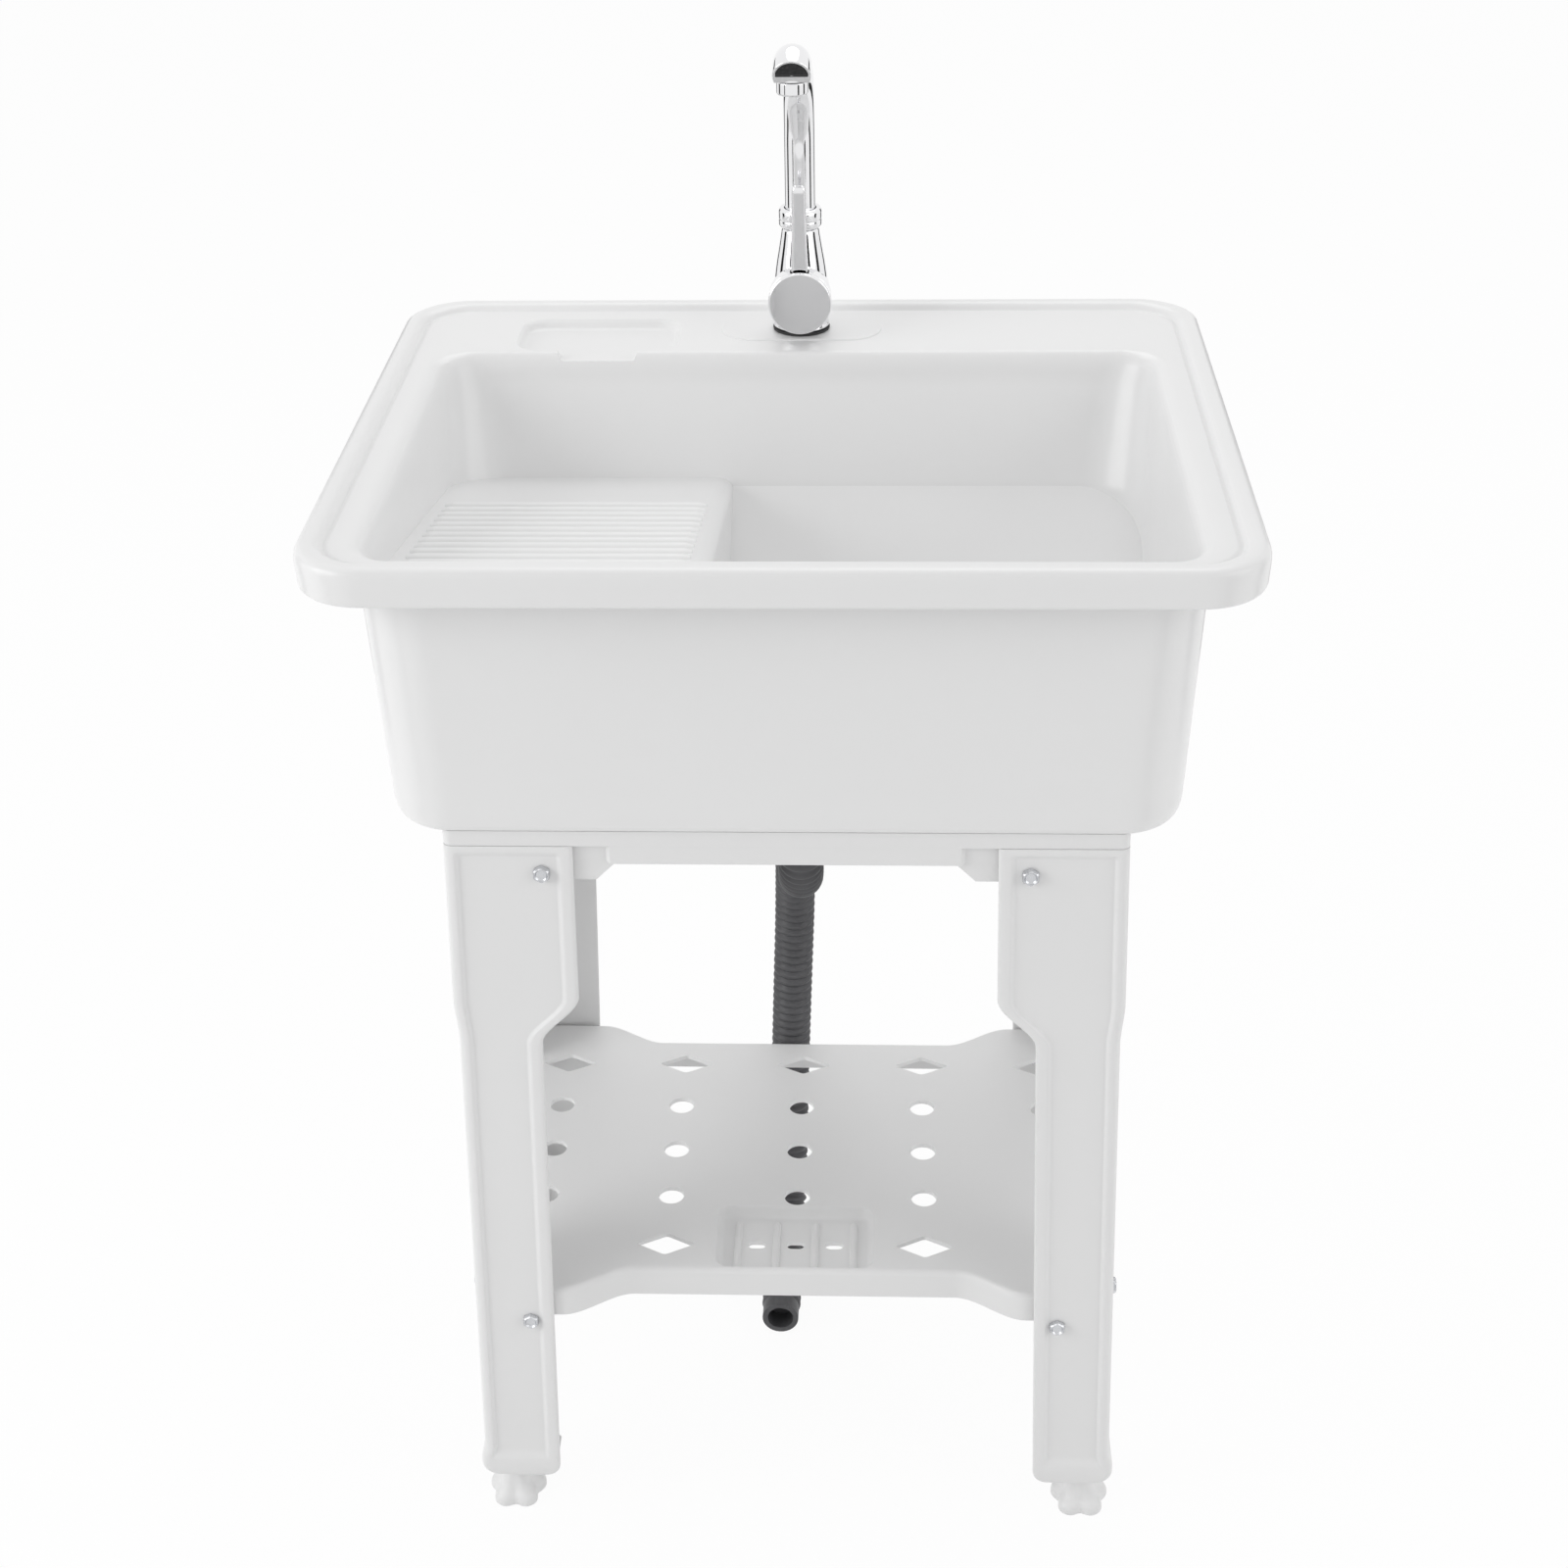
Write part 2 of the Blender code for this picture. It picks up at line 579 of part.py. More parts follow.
def make_foot(tag, sx, sy):
    at = placed((FOOT_X, LEG_FRONT + FOOT_INSET, 0.0), sx, sy)
    rows = [
        (FOOT_RADIUS, 0.0045, 0.0),
        (FOOT_RADIUS, 0.0045, 0.0070),
        (FOOT_RADIUS - 0.0025, 0.0040, 0.0100),
        (0.0140, 0.0008, 0.0140),
        (0.0100, 0.0, LEG_BOTTOM - 0.0004),
    ]
    rings = []
    for radius, depth, z in rows:
        rings.append([(at[0] + x, at[1] + y, z) for x, y, _ in lobes(radius, depth, 0.0)])
    pad = loft("foot_pad_" + tag, rings, WHITE_FRAME)
    base = LEG_BOTTOM - 0.0215
    socket = lathe("socket_" + tag, [(0.0043, base), (0.0043, base + 0.040)], at, None, CUTTERS, count=12)
    cut(pad, socket)
    screw = lathe(
        "foot_screw_" + tag,
        [(0.0034, base + 0.0004), (0.0040, base + 0.0012), (0.0040, base + 0.066), (0.0032, base + 0.0672)],
        at,
        STEEL,
        count=12,
    )
    joint_empty("joint_foot_" + tag, at, pad, screw)


# Bolts and nuts: hexagon heads outside, nuts inside
def make_bolt(name, at, axis, inward, grip):
    """The head sits outside the face at `at`. Inward is the sign of the way in along the axis."""
    rows = [
        (HEAD_RADIUS - 0.0012, -HEAD_HEIGHT),
        (HEAD_RADIUS, -HEAD_HEIGHT + 0.0008),
        (HEAD_RADIUS, 0.0),
        (BOLT_RADIUS, 0.0),
        (BOLT_RADIUS, grip - 0.0006),
        (BOLT_RADIUS - 0.0006, grip),
    ]
    rings = []
    for radius, depth in rows:
        rings.append([swing(p, at, axis, inward) for p in hexagon(radius, depth, 6)])
    return loft(name, rings, STEEL)


def hexagon(radius, depth, count):
    points = []
    for i in range(count):
        a = 2 * math.pi * i / count + math.pi / 6
        points.append((radius * math.cos(a), radius * math.sin(a), depth))
    return points


def swing(point, at, axis, inward):
    a, b, depth = point
    if axis == "Y":
        return (at[0] + a, at[1] + inward * depth, at[2] + b)
    return (at[0] + inward * depth, at[1] + a, at[2] + b)


def make_nut(name, at, axis, inward):
    rings = []
    for radius, depth in ((0.0060, 0.0), (0.0060, 0.0050)):
        rings.append([swing(p, at, axis, inward) for p in hexagon(radius, depth, 6)])
    for radius, depth in ((0.0034, 0.0050), (0.0034, 0.0)):
        rings.append([swing(p, at, axis, inward) for p in hexagon(radius, depth, 6)])
    loft(name, rings, STEEL, closed=True)


def make_fasteners(tag, sx, sy):
    face = LEG_FRONT + 0.0010
    inner = LEG_FRONT + LEG_WALL
    places = (("upper", UPPER_BOLT_X, UPPER_BOLT_Z), ("lower", LOWER_BOLT_X, LOWER_BOLT_Z))
    for label, x, z in places:
        at = placed((x, face - 0.0002, z), sx, sy)
        make_bolt("bolt_" + label + "_" + tag, at, "Y", sy, 0.0170)
        at = placed((x, inner + 0.0046, z), sx, sy)
        make_nut("nut_" + label + "_" + tag, at, "Y", sy)
    x = outer_x(SIDE_BOLT_Z)
    y = LEG_FRONT + SIDE_BOLT_Y
    at = placed((x + 0.0004, y, SIDE_BOLT_Z), sx, sy)
    make_bolt("bolt_side_" + tag, at, "X", -sx, 0.0160)
    at = placed((SHELF_HALF_WIDTH - 0.0035, y, SIDE_BOLT_Z), sx, sy)
    make_nut("nut_side_" + tag, at, "X", -sx)


# Top frame: a ledge under the basin and an apron that the legs bolt to
def make_frame():
    front = LEG_FRONT + LEG_WALL + GAP
    rear = LEG_REAR - LEG_WALL - GAP
    rings = [
        ring_at(LEG_OUTER - 0.0061, front, rear, 0.004, APRON_LOW, 2),
        ring_at(LEG_OUTER - 0.0045, front, rear, 0.004, LEG_TOP + GAP, 2),
        ring_at(LEG_OUTER, LEG_FRONT, LEG_REAR, 0.006, LEG_TOP + GAP, 2),
        ring_at(LEG_OUTER, LEG_FRONT, LEG_REAR, 0.006, BASIN_BOTTOM - GAP, 2),
        ring_at(LEG_OUTER - 0.0206, LEG_FRONT + 0.020, LEG_REAR - 0.020, 0.006, BASIN_BOTTOM - GAP, 2),
        ring_at(LEG_OUTER - 0.0206, LEG_FRONT + 0.020, LEG_REAR - 0.020, 0.006, BASIN_BOTTOM - 0.0045, 2),
        ring_at(LEG_OUTER - 0.0086, front + LEG_WALL, rear - LEG_WALL, 0.003, BASIN_BOTTOM - 0.0045, 2),
        ring_at(LEG_OUTER - 0.0101, front + LEG_WALL, rear - LEG_WALL, 0.003, APRON_LOW, 2),
    ]
    frame = loft("top_frame", rings, WHITE_FRAME, closed=True)
    outline = [
        (-0.0500, APRON_LOW + 0.004),
        (-0.0500, APRON_LOW),
        (-0.0360, GUSSET_LOW),
        (-0.0180, GUSSET_LOW),
        (-0.0150, UPPER_BOLT_Z - 0.016),
        (0.0160, UPPER_BOLT_Z - 0.016),
        (0.0220, UPPER_BOLT_Z - 0.010),
        (0.0220, APRON_LOW + 0.004),
    ]
    bm = bmesh.new()
    for sx in (1, -1):
        for sy in (1, -1):
            rings = []
            for y in (front + 0.0002, front + LEG_WALL - 0.0002):
                rings.append([placed((UPPER_BOLT_X + x, y, z), sx, sy) for x, z in outline])
            add_loft(bm, rings)
    for sy in (1, -1):
        rings = []
        for z in (APRON_LOW + 0.0005, LEG_TOP + 0.0040):
            ring = []
            for x, y in ((-0.116, 0.0004), (0.116, 0.0004), (0.120, 0.0060), (-0.120, 0.0060)):
                ring.append(placed((x, LEG_FRONT + y, z), 1, sy))
            rings.append(ring)
        add_loft(bm, rings)
    tabs = finish(bm, "frame_tabs", None, CUTTERS)
    join(frame, tabs)
    bm = bmesh.new()
    for sx in (1, -1):
        for sy in (1, -1):
            rings = []
            for y in (LEG_FRONT - 0.010, LEG_FRONT + 0.015):
                ring = []
                for a, b, _ in circle(BOLT_RADIUS + 0.0005, 0.0, 8):
                    ring.append(placed((UPPER_BOLT_X + a, y, UPPER_BOLT_Z + b), sx, sy))
                rings.append(ring)
            add_loft(bm, rings)
    holes = finish(bm, "frame_holes", None, CUTTERS)
    cut(frame, holes)


# Shelf: a plate with a flange all round, waisted at the front and back, pierced, with a soap tray
def shelf_outline(inset):
    """Half the outline at the front, from the middle to the right, repeated by mirroring."""
    front = LEG_FRONT + LEG_WALL + GAP + inset
    turn = LEG_OUTER - 0.1066
    quarter = [(turn, front + SHELF_DIP)]
    for i in range(1, 7):
        share = i / 6
        ease = share * share * (3 - 2 * share)
        quarter.append((turn + 0.0520 * share, front + SHELF_DIP * (1 - ease)))
    quarter.append((SHELF_HALF_WIDTH - inset - 0.0060, front))
    quarter.append((SHELF_HALF_WIDTH - inset - 0.0018, front + 0.0018))
    quarter.append((SHELF_HALF_WIDTH - inset, front + 0.0060))
    points = list(quarter)
    points += [(x, 2 * MID_Y - y) for x, y in reversed(quarter)]
    points += [(-x, 2 * MID_Y - y) for x, y in quarter]
    points += [(-x, y) for x, y in reversed(quarter)]
    return points


def make_shelf():
    bottom = SHELF_TOP - SHELF_FLANGE
    outer = shelf_outline(0.0)
    crown = shelf_outline(0.0015)
    rings = [
        [(x, y, bottom) for x, y in outer],
        [(x, y, SHELF_TOP - 0.0012) for x, y in outer],
        [(x, y, SHELF_TOP) for x, y in crown],
    ]
    shelf = loft("shelf", rings, WHITE_FRAME)
    inside = shelf_outline(0.0035)
    below = prism("shelf_below", inside, flat, bottom - 0.02, SHELF_TOP - SHELF_PLATE, None, CUTTERS)
    cut(shelf, below)

    front = LEG_FRONT + LEG_WALL + GAP
    bm = bmesh.new()
    for sx in (1, -1):
        for sy in (1, -1):
            low = LOWER_BOLT_Z - 0.0130
            outline = [
                (LOWER_BOLT_X - 0.0160, low + 0.003),
                (LOWER_BOLT_X - 0.0130, low),
                (LOWER_BOLT_X + 0.0150, low),
                (LOWER_BOLT_X + 0.0180, low + 0.003),
                (LOWER_BOLT_X + 0.0180, SHELF_TOP - 0.0020),
                (LOWER_BOLT_X - 0.0160, SHELF_TOP - 0.0020),
            ]
            rings = []
            for y in (front + 0.0002, front + 0.0036):
                rings.append([placed((x, y, z), sx, sy) for x, z in outline])
            add_loft(bm, rings)
    tabs = finish(bm, "shelf_tabs", None, CUTTERS)
    join(shelf, tabs)

    # Soap tray at the front middle
    y0 = front + SHELF_DIP + 0.0045
    block = loft(
        "tray_block",
        [
            oblong(-0.0600, 0.0600, y0 - 0.0020, y0 + 0.0700, 0.010, SHELF_TOP - 0.0130, 3),
            oblong(-0.0620, 0.0620, y0 - 0.0020, y0 + 0.0720, 0.010, SHELF_TOP - 0.0020, 3),
        ],
        None,
        CUTTERS,
    )
    dish = loft(
        "tray_dish",
        [
            oblong(-0.0545, 0.0545, y0 + 0.0030, y0 + 0.0640, 0.008, SHELF_TOP - 0.0095, 3),
            oblong(-0.0570, 0.0570, y0 + 0.0015, y0 + 0.0665, 0.009, SHELF_TOP - 0.0070, 3),
            oblong(-0.0590, 0.0590, y0, y0 + 0.0685, 0.010, SHELF_TOP + 0.0100, 3),
        ],
        None,
        CUTTERS,
    )
    join(shelf, block)
    cut(shelf, dish)
    bm = bmesh.new()
    for x in (-0.0440, -0.0147, 0.0147, 0.0440):
        rings = []
        for y, size in ((y0 + 0.006, 0.7), (y0 + 0.009, 1.0), (y0 + 0.057, 1.0), (y0 + 0.060, 0.7)):
            ring = []
            for a, b, _ in circle(0.0036 * size, 0.0, 8, math.pi / 8):
                ring.append((x + a, y, SHELF_TOP - 0.0100 + b))
            rings.append(ring)
        add_loft(bm, rings)
    ribs = finish(bm, "tray_ribs", None, CUTTERS)
    join(shelf, ribs)

    # Holes: rows of rounds with diamonds at the front and back, and slots in the tray
    bm = bmesh.new()
    first = LEG_FRONT + 0.057
    row_pitch = (LEG_REAR - 0.061 - first) / 4
    column_pitch = 0.5 * (LEG_OUTER - 0.0306)
    for column in (-2, -1, 0, 1, 2):
        for row, count in enumerate((4, 10, 10, 10, 4)):
            x = column_pitch * column
            y = first + row_pitch * row
            if row == 0 and column not in (-1, 1):
                continue
            rx = 0.0225 if count == 4 else 0.0100
            ry = 0.0125 if count == 4 else 0.0100
            rings = []
            for z in (SHELF_TOP - 0.010, SHELF_TOP + 0.010):
                ring = []
                for i in range(count):
                    a = 2 * math.pi * i / count
                    ring.append((x + rx * math.cos(a), y + ry * math.sin(a), z))
                rings.append(ring)
            add_loft(bm, rings)
    for x in (-0.0294, 0.0, 0.0294):
        rings = []
        for z in (SHELF_TOP - 0.030, SHELF_TOP + 0.010):
            rings.append(oblong(x - 0.0068, x + 0.0068, y0 + 0.031, y0 + 0.039, 0.0038, z, 3))
        add_loft(bm, rings)
    for sx in (1, -1):
        for sy in (1, -1):
            rings = []
            for y in (front - 0.010, front + 0.012):
                ring = []
                for a, b, _ in circle(BOLT_RADIUS + 0.0005, 0.0, 8):
                    ring.append(placed((LOWER_BOLT_X + a, y, LOWER_BOLT_Z + b), sx, sy))
                rings.append(ring)
            add_loft(bm, rings)
            rings = []
            for x in (SHELF_HALF_WIDTH - 0.010, SHELF_HALF_WIDTH + 0.010):
                ring = []
                for a, b, _ in circle(BOLT_RADIUS + 0.0005, 0.0, 8):
                    ring.append(placed((x, LEG_FRONT + SIDE_BOLT_Y + a, SIDE_BOLT_Z + b), sx, sy))
                rings.append(ring)
            add_loft(bm, rings)
    holes = finish(bm, "shelf_holes", None, CUTTERS)
    cut(shelf, holes)


# Tap: a body with a vertical neck and a drum to the front, a lever hub, a swinging spout
def smooth_line(points, step):
    """Even points along a smooth curve through the given ones."""
    fine = []
    last = len(points) - 1
    for i in range(last):
        p0 = points[max(i - 1, 0)]
        p1 = points[i]
        p2 = points[i + 1]
        p3 = points[min(i + 2, last)]
        for k in range(24):
            t = k / 24
            fine.append(tuple(spline(p0[n], p1[n], p2[n], p3[n], t) for n in range(3)))
    fine.append(points[-1])
    out = [fine[0]]
    left = step
    for a, b in zip(fine, fine[1:]):
        length = math.dist(a, b)
        done = 0.0
        while length - done >= left:
            done += left
            share = done / length
            out.append(tuple(a[n] + (b[n] - a[n]) * share for n in range(3)))
            left = step
        left -= length - done
    return out


def spline(p0, p1, p2, p3, t):
    a = 2 * p1
    b = p2 - p0
    c = 2 * p0 - 5 * p1 + 4 * p2 - p3
    d = 3 * p1 - p0 - 3 * p2 + p3
    return 0.5 * (a + b * t + c * t * t + d * t * t * t)


def tube(name, points, radii, colour, where=None, resolution=2):
    """A round tube through the points, with a radius at each."""
    curve = bpy.data.curves.new(name, "CURVE")
    curve.dimensions = "3D"
    curve.bevel_depth = 1.0
    curve.bevel_resolution = resolution
    curve.use_fill_caps = True
    line = curve.splines.new("POLY")
    line.points.add(len(points) - 1)
    for point, at, radius in zip(line.points, points, radii):
        point.co = (*at, 1.0)
        point.radius = radius
    guide = bpy.data.objects.new(name + "_line", curve)
    bpy.context.scene.collection.objects.link(guide)
    graph = bpy.context.evaluated_depsgraph_get()
    mesh = bpy.data.meshes.new_from_object(guide.evaluated_get(graph))
    bpy.data.objects.remove(guide, do_unlink=True)
    bm = bmesh.new()
    bm.from_mesh(mesh)
    bmesh.ops.remove_doubles(bm, verts=bm.verts, dist=0.00001)
    bpy.data.meshes.remove(mesh)
    return finish(bm, name, colour, where)


def make_tap():
    at = (TAP_X, TAP_Y, 0.0)
    pad = DECK + 0.0012
    profile = [(0.0212, pad + GAP), (0.0212, pad + 0.0023), (0.0128, pad + 0.0023), (0.0128, pad + GAP)]
    lathe("tap_gasket", profile, at, BLACK, closed=True, count=20)
    z0 = pad + 0.0026
    top = NECK_TOP
    body = lathe(
        "tap_body",
        [
            (0.0210, z0),
            (0.0210, z0 + 0.0022),
            (0.0200, z0 + 0.0034),
            (0.0200, top - 0.0440),
            (0.0194, top - 0.0360),
            (0.0180, top - 0.0260),
            (0.0160, top - 0.0150),
            (0.0144, top - 0.0050),
            (0.0138, top),
        ],
        at,
        CHROME,
        count=24,
    )
    hub_at = (TAP_X, TAP_Y, HUB_Z)
    drum = lathe("tap_drum", [(0.0212, -0.004), (0.0212, 0.0185)], hub_at, None, CUTTERS, "Y", 24)
    bore = lathe("tap_bore", [(0.0142, -0.0080), (0.0142, 0.0400)], hub_at, None, CUTTERS, "Y", 16)
    neck = lathe("tap_neck", [(0.0080, HUB_Z + 0.007), (0.0080, top + 0.020)], at, None, CUTTERS, count=16)
    profile = [(0.0108, DECK - 0.011), (0.0108, DECK + 0.012), (0.0060, DECK + 0.012), (0.0060, DECK + 0.024)]
    inlet = lathe("tap_inlet", profile, at, None, CUTTERS, count=20)
    profile = [(HUB_RADIUS + 0.0006, 0.0186), (HUB_RADIUS + 0.0006, 0.0600)]
    face = lathe("tap_face", profile, hub_at, None, CUTTERS, "Y", 24)
    join(body, drum)
    cut(body, face, bore, neck, inlet)
    profile = [
        (0.0138, -0.0076),
        (0.0138, 0.0160),
        (0.0110, 0.0160),
        (0.0110, 0.0196),
        (0.0042, 0.0196),
        (0.0042, 0.0275),
    ]
    cartridge = lathe("tap_cartridge", profile, hub_at, BRASS, axis="Y", count=16)
    way = lathe("tap_way", [(0.0060, HUB_Z - 0.003), (0.0060, HUB_Z + 0.037)], at, None, CUTTERS, count=12)
    cut(cartridge, way)

    # Handle hub with a slot for the lever's root
    hub = lathe(
        "handle_hub",
        [
            (HUB_RADIUS - 0.0006, 0.0190),
            (HUB_RADIUS, 0.0198),
            (HUB_RADIUS, 0.0340),
            (HUB_RADIUS - 0.0012, 0.0368),
            (HUB_RADIUS - 0.0045, 0.0384),
        ],
        hub_at,
        CHROME,
        axis="Y",
        count=24,
    )
    profile = [(0.0120, 0.0100), (0.0120, 0.0202), (0.0046, 0.0202), (0.0046, 0.0280)]
    cup = lathe("hub_cup", profile, hub_at, None, CUTTERS, "Y", 16)
    y1 = TAP_Y - 0.0345
    near = (TAP_X - 0.0070, y1 - 0.0012, HUB_Z + 0.0150)
    far = (TAP_X + 0.0070, y1 + 0.0100, HUB_Z + 0.0400)
    slot = box("hub_slot", near, far, None, CUTTERS)
    cut(hub, cup, slot)
    root = HUB_Z + 0.0190
    lever_line = [
        (root - 0.0030, 0.0062, 0.0030),
        (root + 0.0080, 0.0062, 0.0030),
        (root + 0.0250, 0.0056, 0.0028),
        (root + 0.0480, 0.0052, 0.0026),
        (root + 0.0640, 0.0050, 0.0024),
        (root + 0.0672, 0.0036, 0.0016),
    ]
    rings = []
    middle = y1 + 0.0050
    for z, wide, deep in lever_line:
        lean = -0.035 * (z - root)
        ring = []
        for a, b, _ in oblong(-wide, wide, -deep, deep, deep * 0.75, 0.0, 3):
            ring.append((TAP_X + a, middle + b + lean, z))
        rings.append(ring)
    lever = loft("handle_lever", rings, CHROME)
    joint_empty("joint_lever", (TAP_X, middle, root), lever)
    joint_empty("joint_hub", (TAP_X, TAP_Y - 0.0290, HUB_Z), hub)

    lathe(
        "spout_collar",
        [
            (0.0140, top + GAP),
            (0.0160, top + 0.0020),
            (0.0160, top + 0.0120),
            (0.0146, top + 0.0145),
            (SPOUT_RADIUS + 0.0006, top + 0.0145),
            (SPOUT_RADIUS + 0.0006, top + GAP),
        ],
        at,
        CHROME,
        closed=True,
        count=20,
    )
    line = [
        (TAP_X, TAP_Y, top + GAP),
        (TAP_X, TAP_Y, top + 0.165 * SPOUT_RISE),
        (TAP_X, TAP_Y, top + 0.343 * SPOUT_RISE),
        (TAP_X, TAP_Y - 0.008 * SPOUT_REACH, top + 0.495 * SPOUT_RISE),
        (TAP_X, TAP_Y - 0.071 * SPOUT_REACH, top + 0.660 * SPOUT_RISE),
        (TAP_X, TAP_Y - 0.228 * SPOUT_REACH, top + 0.799 * SPOUT_RISE),
        (TAP_X, TAP_Y - 0.472 * SPOUT_REACH, top + 0.885 * SPOUT_RISE),
        (TAP_X, NOSE_Y + 0.0300, NOSE_Z - 0.0075),
        (TAP_X, NOSE_Y + 0.0100, NOSE_Z - 0.0010),
        (TAP_X, NOSE_Y - 0.0050, NOSE_Z),
    ]
    path = smooth_line(line, 0.0110)
    path[0] = line[0]
    front = path[-1]
    radii = [SPOUT_RADIUS] * len(path)
    for i, p in enumerate(path):
        if p[1] < NOSE_Y + 0.030:
            radii[i] = SPOUT_RADIUS + 0.0008
    path += [(front[0], front[1] - 0.0030, front[2]), (front[0], front[1] - 0.0052, front[2])]
    radii += [SPOUT_RADIUS - 0.0008, SPOUT_RADIUS - 0.0040]
    spout = tube("spout", path, radii, CHROME, resolution=4)
    boss = lathe("nose_boss", [(0.0128, NOSE_Z - 0.0132), (0.0128, NOSE_Z + 0.0020)],
                 (TAP_X, NOSE_Y, 0.0), None, CUTTERS, count=20)
    join(spout, boss)
    inner_line = smooth_line(line[:-1], 0.020)
    inner_line[0] = (TAP_X, TAP_Y, top - 0.0100)
    way = tube("spout_way", inner_line, [0.0082] * len(inner_line), None, CUTTERS, resolution=2)
    mouth = lathe("spout_mouth", [(0.0090, NOSE_Z - 0.0200), (0.0090, NOSE_Z + 0.0010)],
                  (TAP_X, NOSE_Y, 0.0), None, CUTTERS, count=20)
    cut(spout, way, mouth)
    low = NOSE_Z - 0.0225
    aerator = lathe(
        "aerator_ring",
        [
            (0.0108, NOSE_Z - 0.0136),
            (0.0108, low + 0.0010),
            (0.0102, low),
            (0.0086, low),
            (0.0086, NOSE_Z - 0.0136),
        ],
        (TAP_X, NOSE_Y, 0.0),
        CHROME,
        closed=True,
        count=20,
    )
    mesh_disc = lathe("aerator_insert", [(0.0083, low + 0.0008), (0.0083, NOSE_Z - 0.0140)],
                      (TAP_X, NOSE_Y, 0.0), BLACK, count=24)
    bm = bmesh.new()
    for row, column in ((0, 0), (1, 0), (-1, 0), (0, 1), (0, -1)):
        rings = []
        for z in (low - 0.01, NOSE_Z + 0.010):
            ring = []
            for a, b, _ in circle(0.0014, 0.0, 6):
                ring.append((TAP_X + 0.0044 * column + a, NOSE_Y + 0.0044 * row + b, z))
            rings.append(ring)
        add_loft(bm, rings)
    pores = finish(bm, "insert_holes", None, CUTTERS)
    cut(mesh_disc, pores)
    joint_empty("joint_spout", (TAP_X, TAP_Y, top), spout, aerator, mesh_disc)

    # Below the deck: shank, washer and nut
    under = DECK - WALL
    high = DECK + 0.0114
    low = DECK - 0.0660
    profile = [(0.0104, high), (0.0104, low), (0.0060, low), (0.0060, high)]
    lathe("tap_shank", profile, at, BRASS, closed=True, count=20)
    high = under - GAP
    low = under - 0.0026
    profile = [(0.0215, high), (0.0215, low), (0.0108, low), (0.0108, high)]
    lathe("tap_washer", profile, at, BLACK, closed=True, count=24)
    rings = []
    for z in (under - 0.0030, under - 0.0120):
        rings.append([(at[0] + a, at[1] + b, z) for a, b, _ in hexagon(0.0180, 0.0, 24)])
    flats = []
    for ring in rings:
        flats.append([clip_hex(p, at) for p in ring])
    inner = []
    for z in (under - 0.0120, under - 0.0030):
        inner.append([(at[0] + a, at[1] + b, z) for a, b, _ in hexagon(0.0108, 0.0, 24)])
    loft("tap_nut", flats + inner, BRASS, closed=True)


def clip_hex(point, at):
    """Pulls points of a circle in to the flats of a hexagon."""
    dx = point[0] - at[0]
    dy = point[1] - at[1]
    radius = math.hypot(dx, dy)
    angle = math.atan2(dy, dx)
    off = (angle + math.pi / 6) % (math.pi / 3) - math.pi / 6
    reach = radius * math.cos(math.pi / 6) / math.cos(off)
    return (at[0] + reach * math.cos(angle), at[1] + reach * math.sin(angle), point[2])


